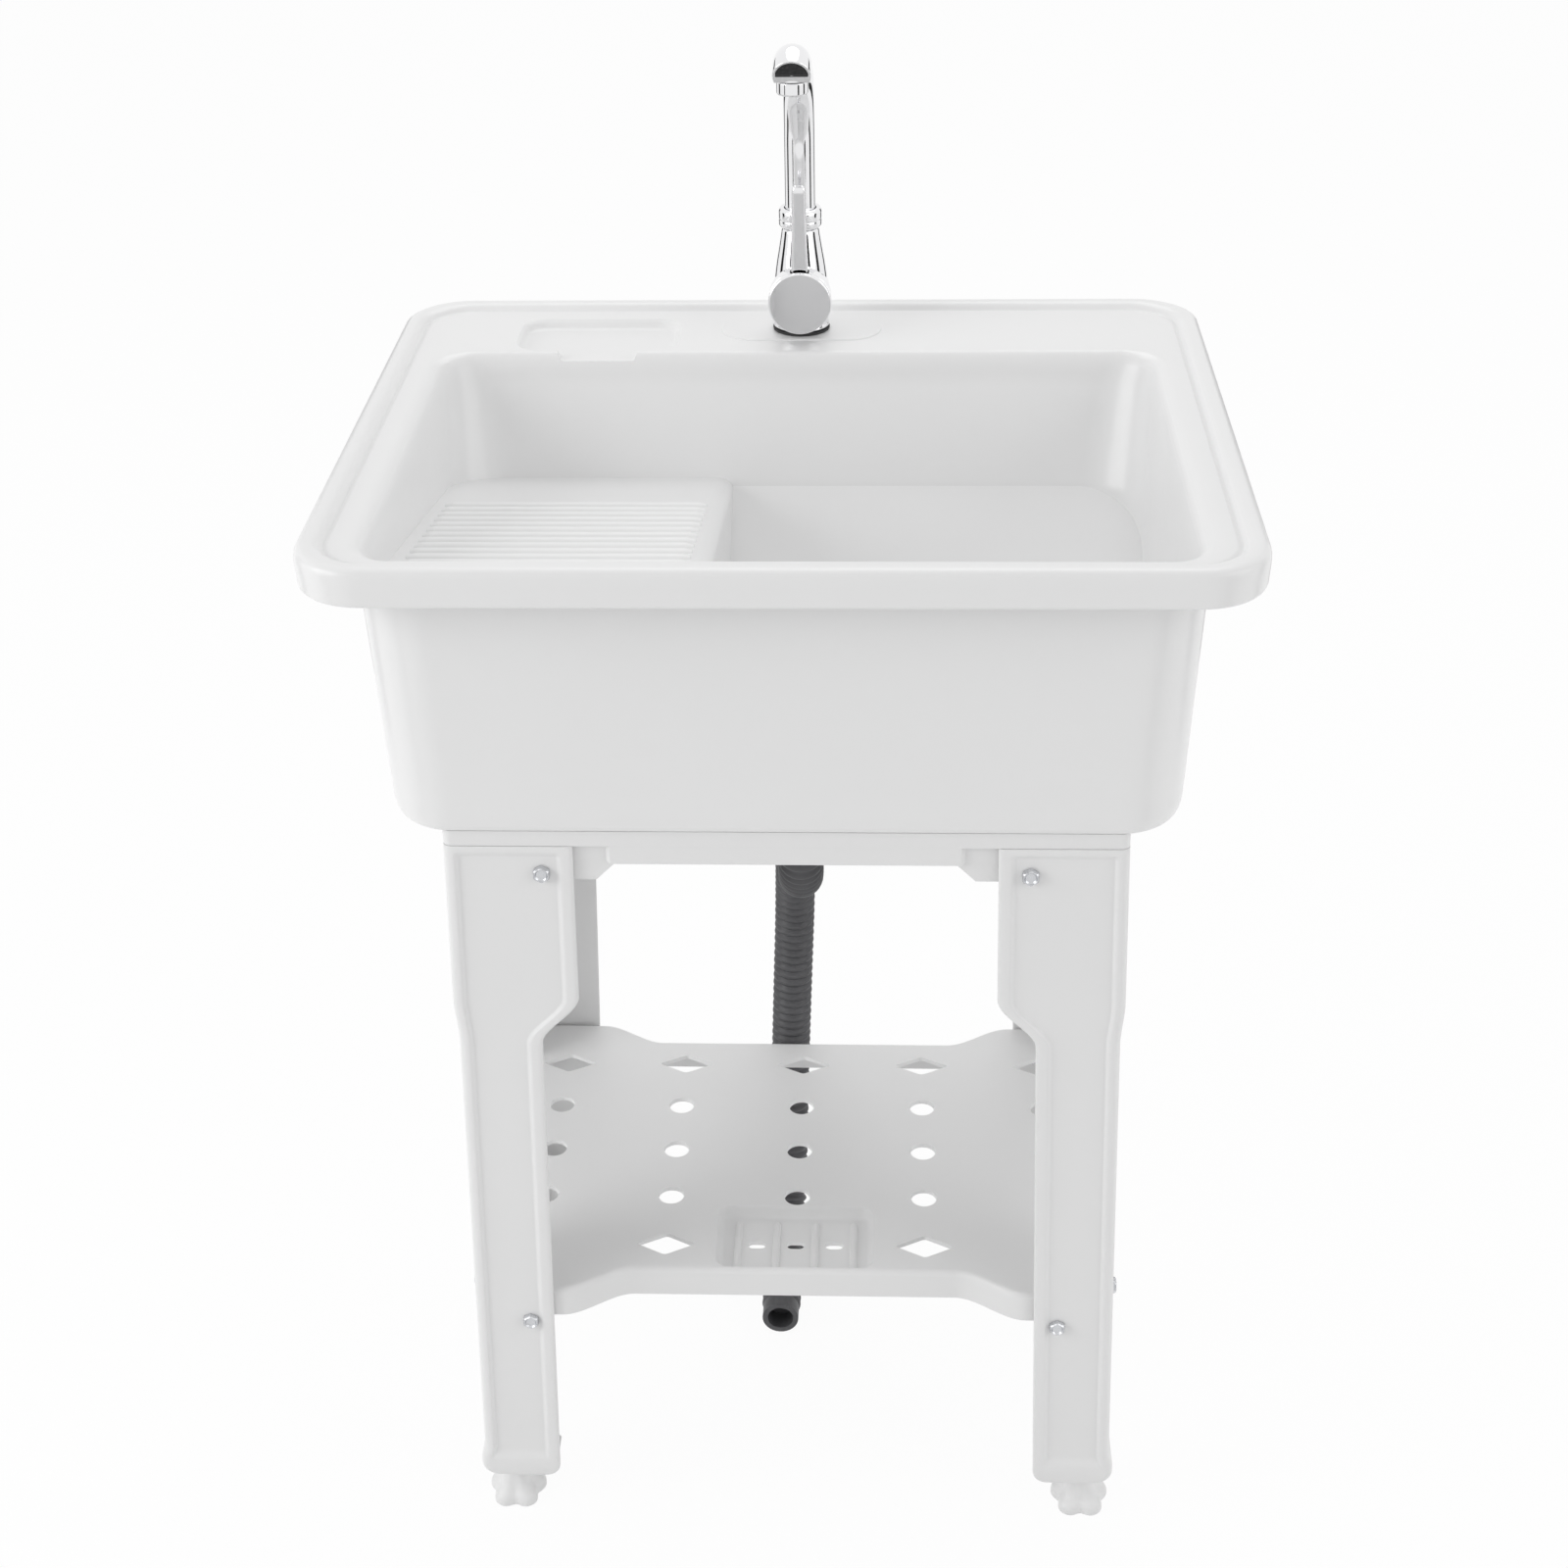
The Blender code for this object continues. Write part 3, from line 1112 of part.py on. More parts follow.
# Drain: flange, lift-out basket, gasket, nut, tail and the ribbed hose
def make_drain():
    at = (DRAIN_X, DRAIN_Y, 0.0)
    z0 = BOWL_FLOOR - 0.0022
    lathe(
        "drain_flange",
        [
            (0.0400, z0 + GAP),
            (0.0404, z0 + 0.0014),
            (0.0380, z0 + 0.0026),
            (0.0300, z0 + 0.0012),
            (0.0205, z0 - 0.0030),
            (0.0195, z0 - 0.0140),
            (0.0195, BOWL_FLOOR - 0.0370),
            (0.0220, BOWL_FLOOR - 0.0370),
            (0.0220, z0 + GAP),
        ],
        at,
        STEEL,
        closed=True,
        count=24,
    )
    under = BOWL_FLOOR - WALL
    high = under - GAP
    low = under - 0.0030
    profile = [(0.0330, high), (0.0330, low), (0.0224, low), (0.0224, high)]
    lathe("drain_gasket", profile, at, BLACK, closed=True, count=20)
    rings = []
    for z in (under - 0.0034, under - 0.0140):
        ring = []
        for a, b, _ in hexagon(0.0330, 0.0, 24):
            ring.append(clip_hex((at[0] + a, at[1] + b, z), at))
        rings.append(ring)
    for z in (under - 0.0140, under - 0.0034):
        rings.append([(at[0] + a, at[1] + b, z) for a, b, _ in hexagon(0.0224, 0.0, 24)])
    loft("drain_nut", rings, WHITE_FRAME, closed=True)
    basket = lathe(
        "drain_basket",
        [
            (0.0300, z0 + 0.0046),
            (0.0296, z0 + 0.0034),
            (0.0200, z0 + 0.0002),
            (0.0186, z0 - 0.0060),
            (0.0180, z0 - 0.0120),
            (0.0166, z0 - 0.0120),
            (0.0172, z0 - 0.0050),
            (0.0200, z0 + 0.0030),
        ],
        at,
        STEEL,
        closed=True,
        count=16,
    )
    profile = [(0.0176, z0 - 0.0119), (0.0177, z0 - 0.0103)]
    floor = lathe("basket_floor", profile, at, None, CUTTERS, count=16)
    profile = [
        (0.0030, z0 - 0.0110),
        (0.0030, z0 + 0.0010),
        (0.0062, z0 + 0.0040),
        (0.0062, z0 + 0.0075),
        (0.0040, z0 + 0.0090),
    ]
    knob = lathe("basket_knob", profile, at, None, CUTTERS, count=16)
    join(basket, floor, knob)
    bm = bmesh.new()
    for i in range(8):
        a = 2 * math.pi * i / 8
        rings = []
        for z in (z0 - 0.02, z0 - 0.004):
            ring = []
            for dx, dy, _ in circle(0.0026, 0.0, 6):
                ring.append((at[0] + 0.0105 * math.cos(a) + dx, at[1] + 0.0105 * math.sin(a) + dy, z))
            rings.append(ring)
        add_loft(bm, rings)
    pores = finish(bm, "basket_holes", None, CUTTERS)
    cut(basket, pores)
    joint_empty("joint_basket", (DRAIN_X, DRAIN_Y, z0), basket)
    lathe(
        "drain_tail",
        [
            (0.0260, BOWL_FLOOR - 0.0210),
            (0.0260, BOWL_FLOOR - 0.0390),
            (0.0200, BOWL_FLOOR - 0.0420),
            (0.0106, BOWL_FLOOR - 0.0425),
            (0.0106, BOWL_FLOOR - 0.0730),
            (0.0100, BOWL_FLOOR - 0.0750),
            (0.0085, BOWL_FLOOR - 0.0750),
            (0.0085, BOWL_FLOOR - 0.0400),
            (0.0190, BOWL_FLOOR - 0.0374),
            (0.0224, BOWL_FLOOR - 0.0374),
            (0.0224, BOWL_FLOOR - 0.0210),
        ],
        at,
        WHITE_FRAME,
        closed=True,
        count=16,
    )

    # Hose: plain cuff on the tail, ribs along the rest, a plain bore through it
    path = smooth_line(HOSE_LINE, HOSE_PITCH / 2)
    path[-1] = HOSE_LINE[-1]
    radii = []
    for i, p in enumerate(path):
        plain = p[2] > BOWL_FLOOR - 0.077 or i > len(path) - 5
        radii.append(0.0155 if plain else (HOSE_RADIUS if i % 2 else HOSE_ROOT))
    hose = tube("drain_hose", path, radii, HOSE_GREY)
    inner = smooth_line(HOSE_LINE, 0.020)
    inner[-1] = HOSE_LINE[-1]
    first = inner[0]
    inner.insert(0, (first[0], first[1], first[2] + 0.010))
    last = inner[-1]
    inner.append((last[0], last[1] - 0.010, last[2]))
    bore = tube("hose_bore", inner, [HOSE_BORE / math.cos(math.pi / 8)] * len(inner), None, CUTTERS)
    cut(hose, bore)
    low = BOWL_FLOOR - 0.0690
    profile = [(0.0158, low), (0.0170, low), (0.0170, low + 0.0110), (0.0158, low + 0.0110)]
    clamp = lathe("hose_clamp", profile, at, STEEL, closed=True, count=20)
    near = (DRAIN_X + 0.0163, DRAIN_Y - 0.0040, low + 0.0008)
    far = (DRAIN_X + 0.0240, DRAIN_Y + 0.0040, low + 0.0102)
    lug = box("clamp_lug", near, far, None, CUTTERS)
    join(clamp, lug)


make_basin()
CORNERS = (("front_right", 1, 1), ("front_left", -1, 1), ("rear_right", 1, -1), ("rear_left", -1, -1))
for tag, sx, sy in CORNERS:
    make_leg(tag, sx, sy)
    make_foot(tag, sx, sy)
    make_fasteners(tag, sx, sy)
make_frame()
make_shelf()
make_tap()
make_drain()
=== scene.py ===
"""Free-standing laundry sink with washboard, bolted legs, pierced shelf, lever tap and hose."""

import json
import math

import bmesh
import bpy
from mathutils import Matrix, Vector

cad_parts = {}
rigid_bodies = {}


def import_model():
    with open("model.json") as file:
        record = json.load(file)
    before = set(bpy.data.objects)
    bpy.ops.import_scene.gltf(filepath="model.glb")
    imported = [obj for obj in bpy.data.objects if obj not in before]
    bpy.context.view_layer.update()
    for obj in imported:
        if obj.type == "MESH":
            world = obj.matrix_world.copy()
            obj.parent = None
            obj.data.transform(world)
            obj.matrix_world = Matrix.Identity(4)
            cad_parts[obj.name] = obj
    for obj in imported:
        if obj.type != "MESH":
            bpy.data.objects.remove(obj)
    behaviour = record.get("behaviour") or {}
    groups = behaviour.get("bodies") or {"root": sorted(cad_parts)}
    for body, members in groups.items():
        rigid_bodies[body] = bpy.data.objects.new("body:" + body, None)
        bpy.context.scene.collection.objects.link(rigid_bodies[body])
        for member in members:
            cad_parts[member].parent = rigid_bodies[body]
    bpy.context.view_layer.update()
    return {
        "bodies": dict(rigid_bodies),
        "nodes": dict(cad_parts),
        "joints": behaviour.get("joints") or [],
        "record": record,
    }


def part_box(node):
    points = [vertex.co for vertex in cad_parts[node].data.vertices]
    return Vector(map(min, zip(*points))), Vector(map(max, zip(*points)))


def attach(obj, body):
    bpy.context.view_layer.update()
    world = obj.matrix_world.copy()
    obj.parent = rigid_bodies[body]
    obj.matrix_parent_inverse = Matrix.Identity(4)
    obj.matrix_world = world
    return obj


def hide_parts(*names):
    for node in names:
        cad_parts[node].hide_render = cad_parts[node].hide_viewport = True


bl_info = {
    "name": "Laundry sink",
    "version": (1, 0, 0),
    "blender": (4, 5, 0),
    "location": "3D View > Sidebar > Laundry sink",
    "description": "Builds the finished pieces of a free-standing laundry sink over its frame",
    "category": "Object",
}

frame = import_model()

# Each corner of the stand with its sides: 1 for right and front, -1 for left and rear
CORNERS = (
    ("front_right", 1, 1),
    ("front_left", -1, 1),
    ("rear_right", 1, -1),
    ("rear_left", -1, -1),
)

# Basin
BASIN_LOW, BASIN_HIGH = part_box("basin")
HALF_WIDTH = BASIN_HIGH.x
HALF_DEPTH = BASIN_HIGH.y
RIM_TOP = BASIN_HIGH.z
BASIN_BOTTOM = BASIN_LOW.z
DECK = RIM_TOP - 0.004
SKIRT_LOW = RIM_TOP - 0.026
WALL = 0.005
BASIN_STEPS = 14
BOWL_FLOOR = BASIN_BOTTOM + 0.019
BLOCK_FOOT = BOWL_FLOOR - 0.013
BLOCK_LAP = 0.0160
BLOCK_SIDE = HALF_WIDTH - 0.030
BOARD_RIGHT = -0.0475
BOARD_FRONT = (-HALF_DEPTH + 0.0305, RIM_TOP - 0.0275)
BOARD_BACK = (HALF_DEPTH - 0.1380, RIM_TOP - 0.0910)
BOARD_TILT = (BOARD_BACK[1] - BOARD_FRONT[1]) / (BOARD_BACK[0] - BOARD_FRONT[0])
RIB_START = 0.098
RIB_FREE = 0.1365
RIB_SINK = 0.0022
DRAIN = (0.006, -0.085)
SEAT_DEPTH = 0.0022
RAMP_FRONT = DRAIN[1] + 0.051
RAMP_LOW = BOWL_FLOOR - 0.001
RAMP_HIGH = BOARD_BACK[1] - 0.0025
RAMP_TILT = (RAMP_HIGH - RAMP_LOW) / (BOARD_BACK[0] - RAMP_FRONT)

# Stand
LEG_LOW, LEG_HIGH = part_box("leg_front_right")
LEG_TOP = LEG_HIGH.z
LEG_BOTTOM = LEG_LOW.z
LEG_FRONT = LEG_LOW.y
LEG_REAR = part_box("leg_rear_right")[1].y
MID_Y = 0.5 * (LEG_FRONT + LEG_REAR)
LEG_OUTER = HALF_WIDTH - 0.0734
LEG_INNER = LEG_OUTER - 0.0861
LEG_WALL = 0.004
LEG_FLARE = 0.030
LEG_CORNER = 0.0060
TOE_RADIUS = 0.012
STEP_HIGH = LEG_TOP - 0.121
STEP_LOW = LEG_TOP - 0.160
FIT_GAP = 0.0003
INNER_FRONT = LEG_FRONT + LEG_WALL + FIT_GAP
INNER_REAR = LEG_REAR - LEG_WALL - FIT_GAP
FRAME_LOW = LEG_TOP - 0.014
SHELF_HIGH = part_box("shelf")[1]
SHELF_TOP = SHELF_HIGH.z
SHELF_WAIST = 0.024
TRAY_FRONT = INNER_FRONT + SHELF_WAIST + 0.0045
FOOT_LOBES = 5
BOLT_HEAD = 0.0042

# Tap
TAP = (0.002, HALF_DEPTH - 0.060)
HUB_Z = DECK + 0.032
HUB_RADIUS = 0.0232
LEVER_Y = TAP[1] - 0.0345
NECK_TOP = DECK + 0.079
NOSE = (TAP[1] - 0.127, NECK_TOP + 0.1515)
SPOUT_RADIUS = 0.0112
NOSE_SWELL = 0.0017
TAP_SIDES = 72

# Middle line of the drain hose, from the drain's tail to its open end on the floor
HOSE_LINE = [
    (0.0060, -0.0850, 0.6020),
    (0.0060, -0.0850, 0.5800),
    (0.0060, -0.0850, 0.5580),
    (0.0060, -0.0780, 0.5280),
    (0.0050, -0.0550, 0.5000),
    (0.0030, -0.0180, 0.4810),
    (0.0000, 0.0280, 0.4680),
    (-0.0030, 0.0720, 0.4510),
    (-0.0050, 0.1080, 0.4240),
    (-0.0065, 0.1300, 0.3850),
    (-0.0080, 0.1385, 0.3350),
    (-0.0105, 0.1400, 0.2700),
    (-0.0130, 0.1400, 0.2000),
    (-0.0150, 0.1390, 0.1300),
    (-0.0165, 0.1320, 0.0750),
    (-0.0175, 0.1120, 0.0380),
    (-0.0185, 0.0800, 0.0205),
    (-0.0195, 0.0420, 0.0170),
    (-0.0200, 0.0050, 0.0170),
]

# Stage
CAMERA_AT = (0.06142, -1.58187, 1.45546)
CAMERA_YAW, CAMERA_PITCH, CAMERA_ROLL = 0.04437, 0.52177, 0.01744
CAMERA_LENS = 56.395
FLOOR_GLOW = 0.95
SOFT_LIGHT = 0.65


class SinkSizes(bpy.types.PropertyGroup):
    """Sizes of the fine forms of the sink"""

    rib_count: bpy.props.IntProperty(
        name="Washboard ribs",
        description="Number of ribs on the washboard",
        default=14,
        min=2,
    )
    rib_radius: bpy.props.FloatProperty(
        name="Rib radius",
        description="Radius of a washboard rib",
        default=0.0052,
        unit="LENGTH",
    )
    panel_depth: bpy.props.FloatProperty(
        name="Leg panel depth",
        description="How far a leg's front panel is set back",
        default=0.0024,
        unit="LENGTH",
    )
    edge_round: bpy.props.FloatProperty(
        name="Edge rounding",
        description="Rounding on the edges of the top frame",
        default=0.0009,
        unit="LENGTH",
    )
    hose_pitch: bpy.props.FloatProperty(
        name="Hose rib pitch",
        description="Distance between the ribs of the hose",
        default=0.0074,
        unit="LENGTH",
    )
    hose_crest: bpy.props.FloatProperty(
        name="Hose crest radius",
        description="Radius of the hose on its ribs",
        default=0.0165,
        unit="LENGTH",
    )
    hose_root: bpy.props.FloatProperty(
        name="Hose root radius",
        description="Radius of the hose between its ribs",
        default=0.0140,
        unit="LENGTH",
    )
    head_radius: bpy.props.FloatProperty(
        name="Bolt head radius",
        description="Corner radius of a bolt's hexagon head",
        default=0.0064,
        unit="LENGTH",
    )


class SinkColours(bpy.types.PropertyGroup):
    """Colours of the finishes"""

    basin: bpy.props.FloatVectorProperty(
        name="Basin",
        description="White of the glossy basin",
        default=(0.86, 0.86, 0.86),
        subtype="COLOR",
    )
    stand: bpy.props.FloatVectorProperty(
        name="Stand",
        description="White of the satin legs and shelf",
        default=(0.84, 0.84, 0.84),
        subtype="COLOR",
    )
    chrome: bpy.props.FloatVectorProperty(
        name="Chrome",
        description="Tint of the tap's chrome",
        default=(0.85, 0.85, 0.86),
        subtype="COLOR",
    )
    zinc: bpy.props.FloatVectorProperty(
        name="Zinc",
        description="Tint of the plated bolts",
        default=(0.62, 0.63, 0.65),
        subtype="COLOR",
    )
    hose: bpy.props.FloatVectorProperty(
        name="Hose",
        description="Grey of the ribbed hose",
        default=(0.085, 0.085, 0.090),
        subtype="COLOR",
    )


# Nodes and materials


def add_node(tree, kind, inputs=None, **settings):
    """A new node: settings first, then each input gets a value or a link from an output."""
    node = tree.nodes.new(kind)
    for label, value in settings.items():
        setattr(node, label, value)
    for label, value in (inputs or {}).items():
        if isinstance(value, bpy.types.NodeSocket):
            tree.links.new(value, node.inputs[label])
        else:
            node.inputs[label].default_value = value
    return node


def maths(tree, kind, first, second=0.0):
    """The result of a sum on two values or outputs."""
    return add_node(tree, "ShaderNodeMath", {0: first, 1: second}, operation=kind).outputs[0]


def noise(tree, place, scale, detail):
    """Noise in the piece's own coordinates."""
    inputs = {"Vector": place, "Scale": scale, "Detail": detail}
    return add_node(tree, "ShaderNodeTexNoise", inputs).outputs["Fac"]


def spread(tree, factor, low, high):
    """The middle of a noise, spread between two values."""
    inputs = {"Value": factor, "From Min": 0.3, "From Max": 0.7, "To Min": low, "To Max": high}
    return add_node(tree, "ShaderNodeMapRange", inputs).outputs["Result"]


def tinted(tree, factor, colour, low, high):
    """The colour, made a little darker and lighter along a factor."""
    inputs = {
        "Factor": factor,
        "A": (*[c * low for c in colour], 1.0),
        "B": (*[min(1.0, c * high) for c in colour], 1.0),
    }
    return add_node(tree, "ShaderNodeMix", inputs, data_type="RGBA").outputs["Result"]


def surface(name, colour, tint, gloss, grain):
    """A material whose colour, gloss and grain vary a little over the piece.

    tint is a noise's scale and detail and the darkest and lightest share of the colour.
    gloss is a noise's scale and detail and the lowest and highest roughness.
    grain is a noise's scale, its depth and its strength.
    """
    made = bpy.data.materials.new(name)
    made.use_nodes = True
    tree = made.node_tree
    shader = tree.nodes["Principled BSDF"]
    place = add_node(tree, "ShaderNodeTexCoord").outputs["Object"]
    shade = tinted(tree, noise(tree, place, *tint[:2]), colour, *tint[2:])
    tree.links.new(shade, shader.inputs["Base Color"])
    rough = spread(tree, noise(tree, place, *gloss[:2]), *gloss[2:])
    tree.links.new(rough, shader.inputs["Roughness"])
    scale, depth, strength = grain
    if depth > 0.0:
        height = noise(tree, place, scale, 2.0)
        inputs = {"Strength": strength, "Distance": depth, "Height": height}
        bump = add_node(tree, "ShaderNodeBump", inputs)
        tree.links.new(bump.outputs["Normal"], shader.inputs["Normal"])
    return made, shader


def moulded_white(name, colour, rough, scale, depth, coat):
    """Moulded plastic: an even white with slow flow marks and a sheen that varies a little."""
    tint = (9.0, 3.0, 0.990, 1.008)
    gloss = (60.0, 2.0, rough - 0.02, rough + 0.03)
    made, shader = surface(name, colour, tint, gloss, (scale, depth, 0.6))
    shader.inputs["Coat Weight"].default_value = coat
    shader.inputs["Coat Roughness"].default_value = 0.12
    return made


def metal(name, colour, rough, scale, depth):
    """Plated metal with faint wipe marks in its gloss."""
    tint = (scale, 3.0, 0.95, 1.04)
    gloss = (scale * 0.4, 4.0, rough * 0.7, rough * 1.5)
    made, shader = surface(name, colour, tint, gloss, (scale * 4.0, depth, 0.5))
    shader.inputs["Metallic"].default_value = 1.0
    return made


def dull(name, colour, rough, scale, depth):
    """Rubber and dark plastic with a dusty, slightly grained skin."""
    tint = (60.0, 4.0, 0.85, 1.20)
    gloss = (140.0, 2.0, rough - 0.08, rough + 0.08)
    return surface(name, colour, tint, gloss, (scale, depth, 0.6))[0]


FINISHES = {}


def make_finishes(colours):
    """Makes each finish from colour, roughness, noise scale, grain depth and, on white, coat."""
    basin = ("basin_gloss_white", colours.basin, 0.30, 900.0, 0.000008, 0.15)
    stand = ("stand_satin_white", colours.stand, 0.42, 1400.0, 0.000012, 0.0)
    # The nose's gloss black is partly dark plastic and partly painted shade of the hollow inside
    # the spout's end
    black = ("inlay_gloss_black", (0.012, 0.012, 0.013), 0.16, 900.0, 0.000004)
    FINISHES["basin"] = moulded_white(*basin)
    FINISHES["stand"] = moulded_white(*stand)
    FINISHES["chrome"] = metal("tap_chrome", colours.chrome, 0.05, 30.0, 0.0)
    FINISHES["zinc"] = metal("bolt_zinc", colours.zinc, 0.26, 260.0, 0.00003)
    FINISHES["steel"] = metal("drain_steel", (0.66, 0.66, 0.67), 0.20, 180.0, 0.00002)
    FINISHES["brass"] = metal("tap_brass", (0.72, 0.55, 0.25), 0.28, 120.0, 0.00002)
    FINISHES["rubber"] = dull("seal_rubber", (0.020, 0.020, 0.021), 0.62, 700.0, 0.00005)
    FINISHES["gloss_black"] = dull(*black)
    FINISHES["hose"] = dull("hose_grey", colours.hose, 0.48, 500.0, 0.00005)


# Mesh helpers


def linked(name, data):
    """A new object in the scene."""
    obj = bpy.data.objects.new(name, data)
    bpy.context.scene.collection.objects.link(obj)
    return obj


def to_object(name, bm, outward=True):
    """Makes an object of a bmesh, which is used up."""
    if outward:
        bmesh.ops.recalc_face_normals(bm, faces=bm.faces)
    mesh = bpy.data.meshes.new(name)
    bm.to_mesh(mesh)
    bm.free()
    return linked(name, mesh)


def join_rings(bm, rings, closed=False):
    """Skins rings of points in order. With closed set, the last ring joins the first."""
    rows = [[bm.verts.new(p) for p in ring] for ring in rings]
    count = len(rows[0])
    pairs = list(zip(rows, rows[1:]))
    if closed:
        pairs.append((rows[-1], rows[0]))
    for low, high in pairs:
        for i in range(count):
            j = (i + 1) % count
            bm.faces.new((low[i], low[j], high[j], high[i]))
    if not closed:
        bm.faces.new(rows[0])
        bm.faces.new(rows[-1])


def solid(name, rings, closed=False):
    """An object skinned over rings of points."""
    bm = bmesh.new()
    join_rings(bm, rings, closed)
    return to_object(name, bm)


def solids(name, stacks):
    """Several separate solids in one object."""
    bm = bmesh.new()
    for rings in stacks:
        join_rings(bm, rings)
    return to_object(name, bm)


def plain(obj):
    """Turns an object with modifiers into a plain mesh."""
    graph = bpy.context.evaluated_depsgraph_get()
    mesh = bpy.data.meshes.new_from_object(obj.evaluated_get(graph), depsgraph=graph)
    old = obj.data
    obj.modifiers.clear()
    obj.data = mesh
    mesh.name = obj.name
    if old.users == 0:
        bpy.data.batch_remove([old])
    return obj


def carve(obj, joined=(), cut=(), kept=()):
    """Joins, cuts and trims to other solids, which are used up."""
    for kind, others in (("UNION", joined), ("DIFFERENCE", cut), ("INTERSECT", kept)):
        for other in others:
            step = obj.modifiers.new(other.name, "BOOLEAN")
            step.operation = kind
            step.solver = "EXACT"
            step.object = other
    plain(obj)
    for other in (*joined, *cut, *kept):
        bpy.data.objects.remove(other, do_unlink=True)
    return obj


def soften(obj, width, segments=2, angle=38.0):
    """Rounds the sharp edges of a moulded or pressed piece."""
    step = obj.modifiers.new("round", "BEVEL")
    step.width = width
    step.segments = segments
    step.limit_method = "ANGLE"
    step.angle_limit = math.radians(angle)
    step.use_clamp_overlap = True
    step.miter_outer = "MITER_ARC"
    return plain(obj)


def finished(obj, finish, body, *nodes, angle=40.0, weighted=True):
    """Shades the piece, gives it its finish and sets it on the body that carries it."""
    mesh = obj.data
    for face in mesh.polygons:
        face.use_smooth = True
    mesh.set_sharp_from_angle(angle=math.radians(angle))
    if weighted:
        step = obj.modifiers.new("even", "WEIGHTED_NORMAL")
        step.keep_sharp = True
        mesh = plain(obj).data
    mesh.materials.clear()
    mesh.materials.append(FINISHES[finish])
    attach(obj, body)
    if nodes:
        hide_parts(*nodes)
    return obj


def merged(name, *objs):
    """Puts several meshes into one object."""
    bm = bmesh.new()
    for obj in objs:
        bm.from_mesh(obj.data)
        bpy.data.objects.remove(obj, do_unlink=True)
    return to_object(name, bm, outward=False)


def mix(a, b, share):
    """The point at a share of the way from a to b."""
    return tuple(p + (q - p) * share for p, q in zip(a, b))


def bend(a, corner, b, steps):
    """Points on a curve that leaves a towards the corner and arrives at b from it."""
    return [mix(mix(a, corner, t), mix(corner, b, t), t) for t in steps]


def eased(rows, reach, steps=3):
    """Rounds the corners of a profile. Each row is a tuple that ends in its height."""
    shares = [i / steps for i in range(steps + 1)]
    out = [rows[0]]
    for before, row, after in zip(rows, rows[1:], rows[2:]):
        first = math.dist((before[0], before[-1]), (row[0], row[-1]))
        second = math.dist((after[0], after[-1]), (row[0], row[-1]))
        a = mix(row, before, min(reach, 0.49 * first) / first)
        b = mix(row, after, min(reach, 0.49 * second) / second)
        out += bend(a, row, b, shares)
    out.append(rows[-1])
    return out


def smooth_share(value, low, high):
    """0 up to low, 1 from high on, and a soft rise between them."""
    share = max(0.0, min(1.0, (value - low) / (high - low)))
    return share * share * (3 - 2 * share)


def oblong(x0, x1, y0, y1, radius, z, steps=8):
    """A rectangle with round corners at height z."""
    points = []
    for cx, cy, start in ((x1, y1, 0), (x0, y1, 90), (x0, y0, 180), (x1, y0, 270)):
        mx = cx - math.copysign(radius, cx - 0.5 * (x0 + x1))
        my = cy - math.copysign(radius, cy - 0.5 * (y0 + y1))
        for i in range(steps + 1):
            a = math.radians(start + 90 * i / steps)
            points.append((mx + radius * math.cos(a), my + radius * math.sin(a), z))
    return points


def oblongs(name, rows, steps=8, closed=False):
    """A solid over oblongs. A row is left, right, front, back, corner radius and height."""
    return solid(name, [oblong(*row, steps) for row in rows], closed)


def two_sided(rows):
    """Rows that start with a half width, made rows that start with a left and a right."""
    return [(-half, half, *rest) for half, *rest in rows]


def corner_arc(x, y, radius):
    """A quarter circle from a front edge to a right side that meet at a corner."""
    points = []
    for i in range(7):
        a = math.radians(15 * i)
        points.append((x - radius + radius * math.sin(a), y + radius - radius * math.cos(a)))
    return points


def circle(radius, z, count):
    """Points round the Z axis at height z."""
    points = []
    for i in range(count):
        a = 2 * math.pi * i / count
        points.append((radius * math.cos(a), radius * math.sin(a), z))
    return points


def turned(name, profile, centre, axis="Z", count=64, closed=False, reach=0.0008):
    """A lathe shape with rounded profile corners. On Y, heights run towards -Y."""
    if closed:
        rows = eased([profile[-1], *profile, profile[0]], reach)[1:-1]
    else:
        rows = eased(profile, reach)
    rings = []
    for radius, height in rows:
        ring = []
        for x, y, z in circle(radius, height, count):
            if axis == "Y":
                y, z = -z, y
            ring.append((centre[0] + x, centre[1] + y, centre[2] + z))
        rings.append(ring)
    return solid(name, rings, closed)


def placed(point, sx, sy):
    """Mirrors a front right point to another corner of the stand."""
    x, y, z = point
    if sy < 0:
        y = 2 * MID_Y - y
    return (sx * x, y, z)


def spline(p0, p1, p2, p3, t):
    """A point between p1 and p2 on a smooth curve through four points."""
    out = []
    for a, b, c, d in zip(p0, p1, p2, p3):
        square = 2 * a - 5 * b + 4 * c - d
        cube = 3 * b - a - 3 * c + d
        out.append(0.5 * (2 * b + (c - a) * t + square * t**2 + cube * t**3))
    return tuple(out)


def smooth_line(points, step):
    """Even points along a smooth curve through the given ones."""
    parts = 24
    fine = []
    last = len(points) - 1
    for i in range(last):
        ends = (points[max(i - 1, 0)], points[i], points[i + 1], points[min(i + 2, last)])
        fine += [spline(*ends, k / parts) for k in range(parts)]
    fine.append(points[-1])
    total = sum(math.dist(a, b) for a, b in zip(fine, fine[1:]))
    count = max(2, round(total / step))
    out = [fine[0]]
    want = total / count
    left = want
    for a, b in zip(fine, fine[1:]):
        length = math.dist(a, b)
        done = 0.0
        while length - done >= left and len(out) < count:
            done += left
            out.append(mix(a, b, done / length))
            left = want
        left -= length - done
    out.append(points[-1])
    return out


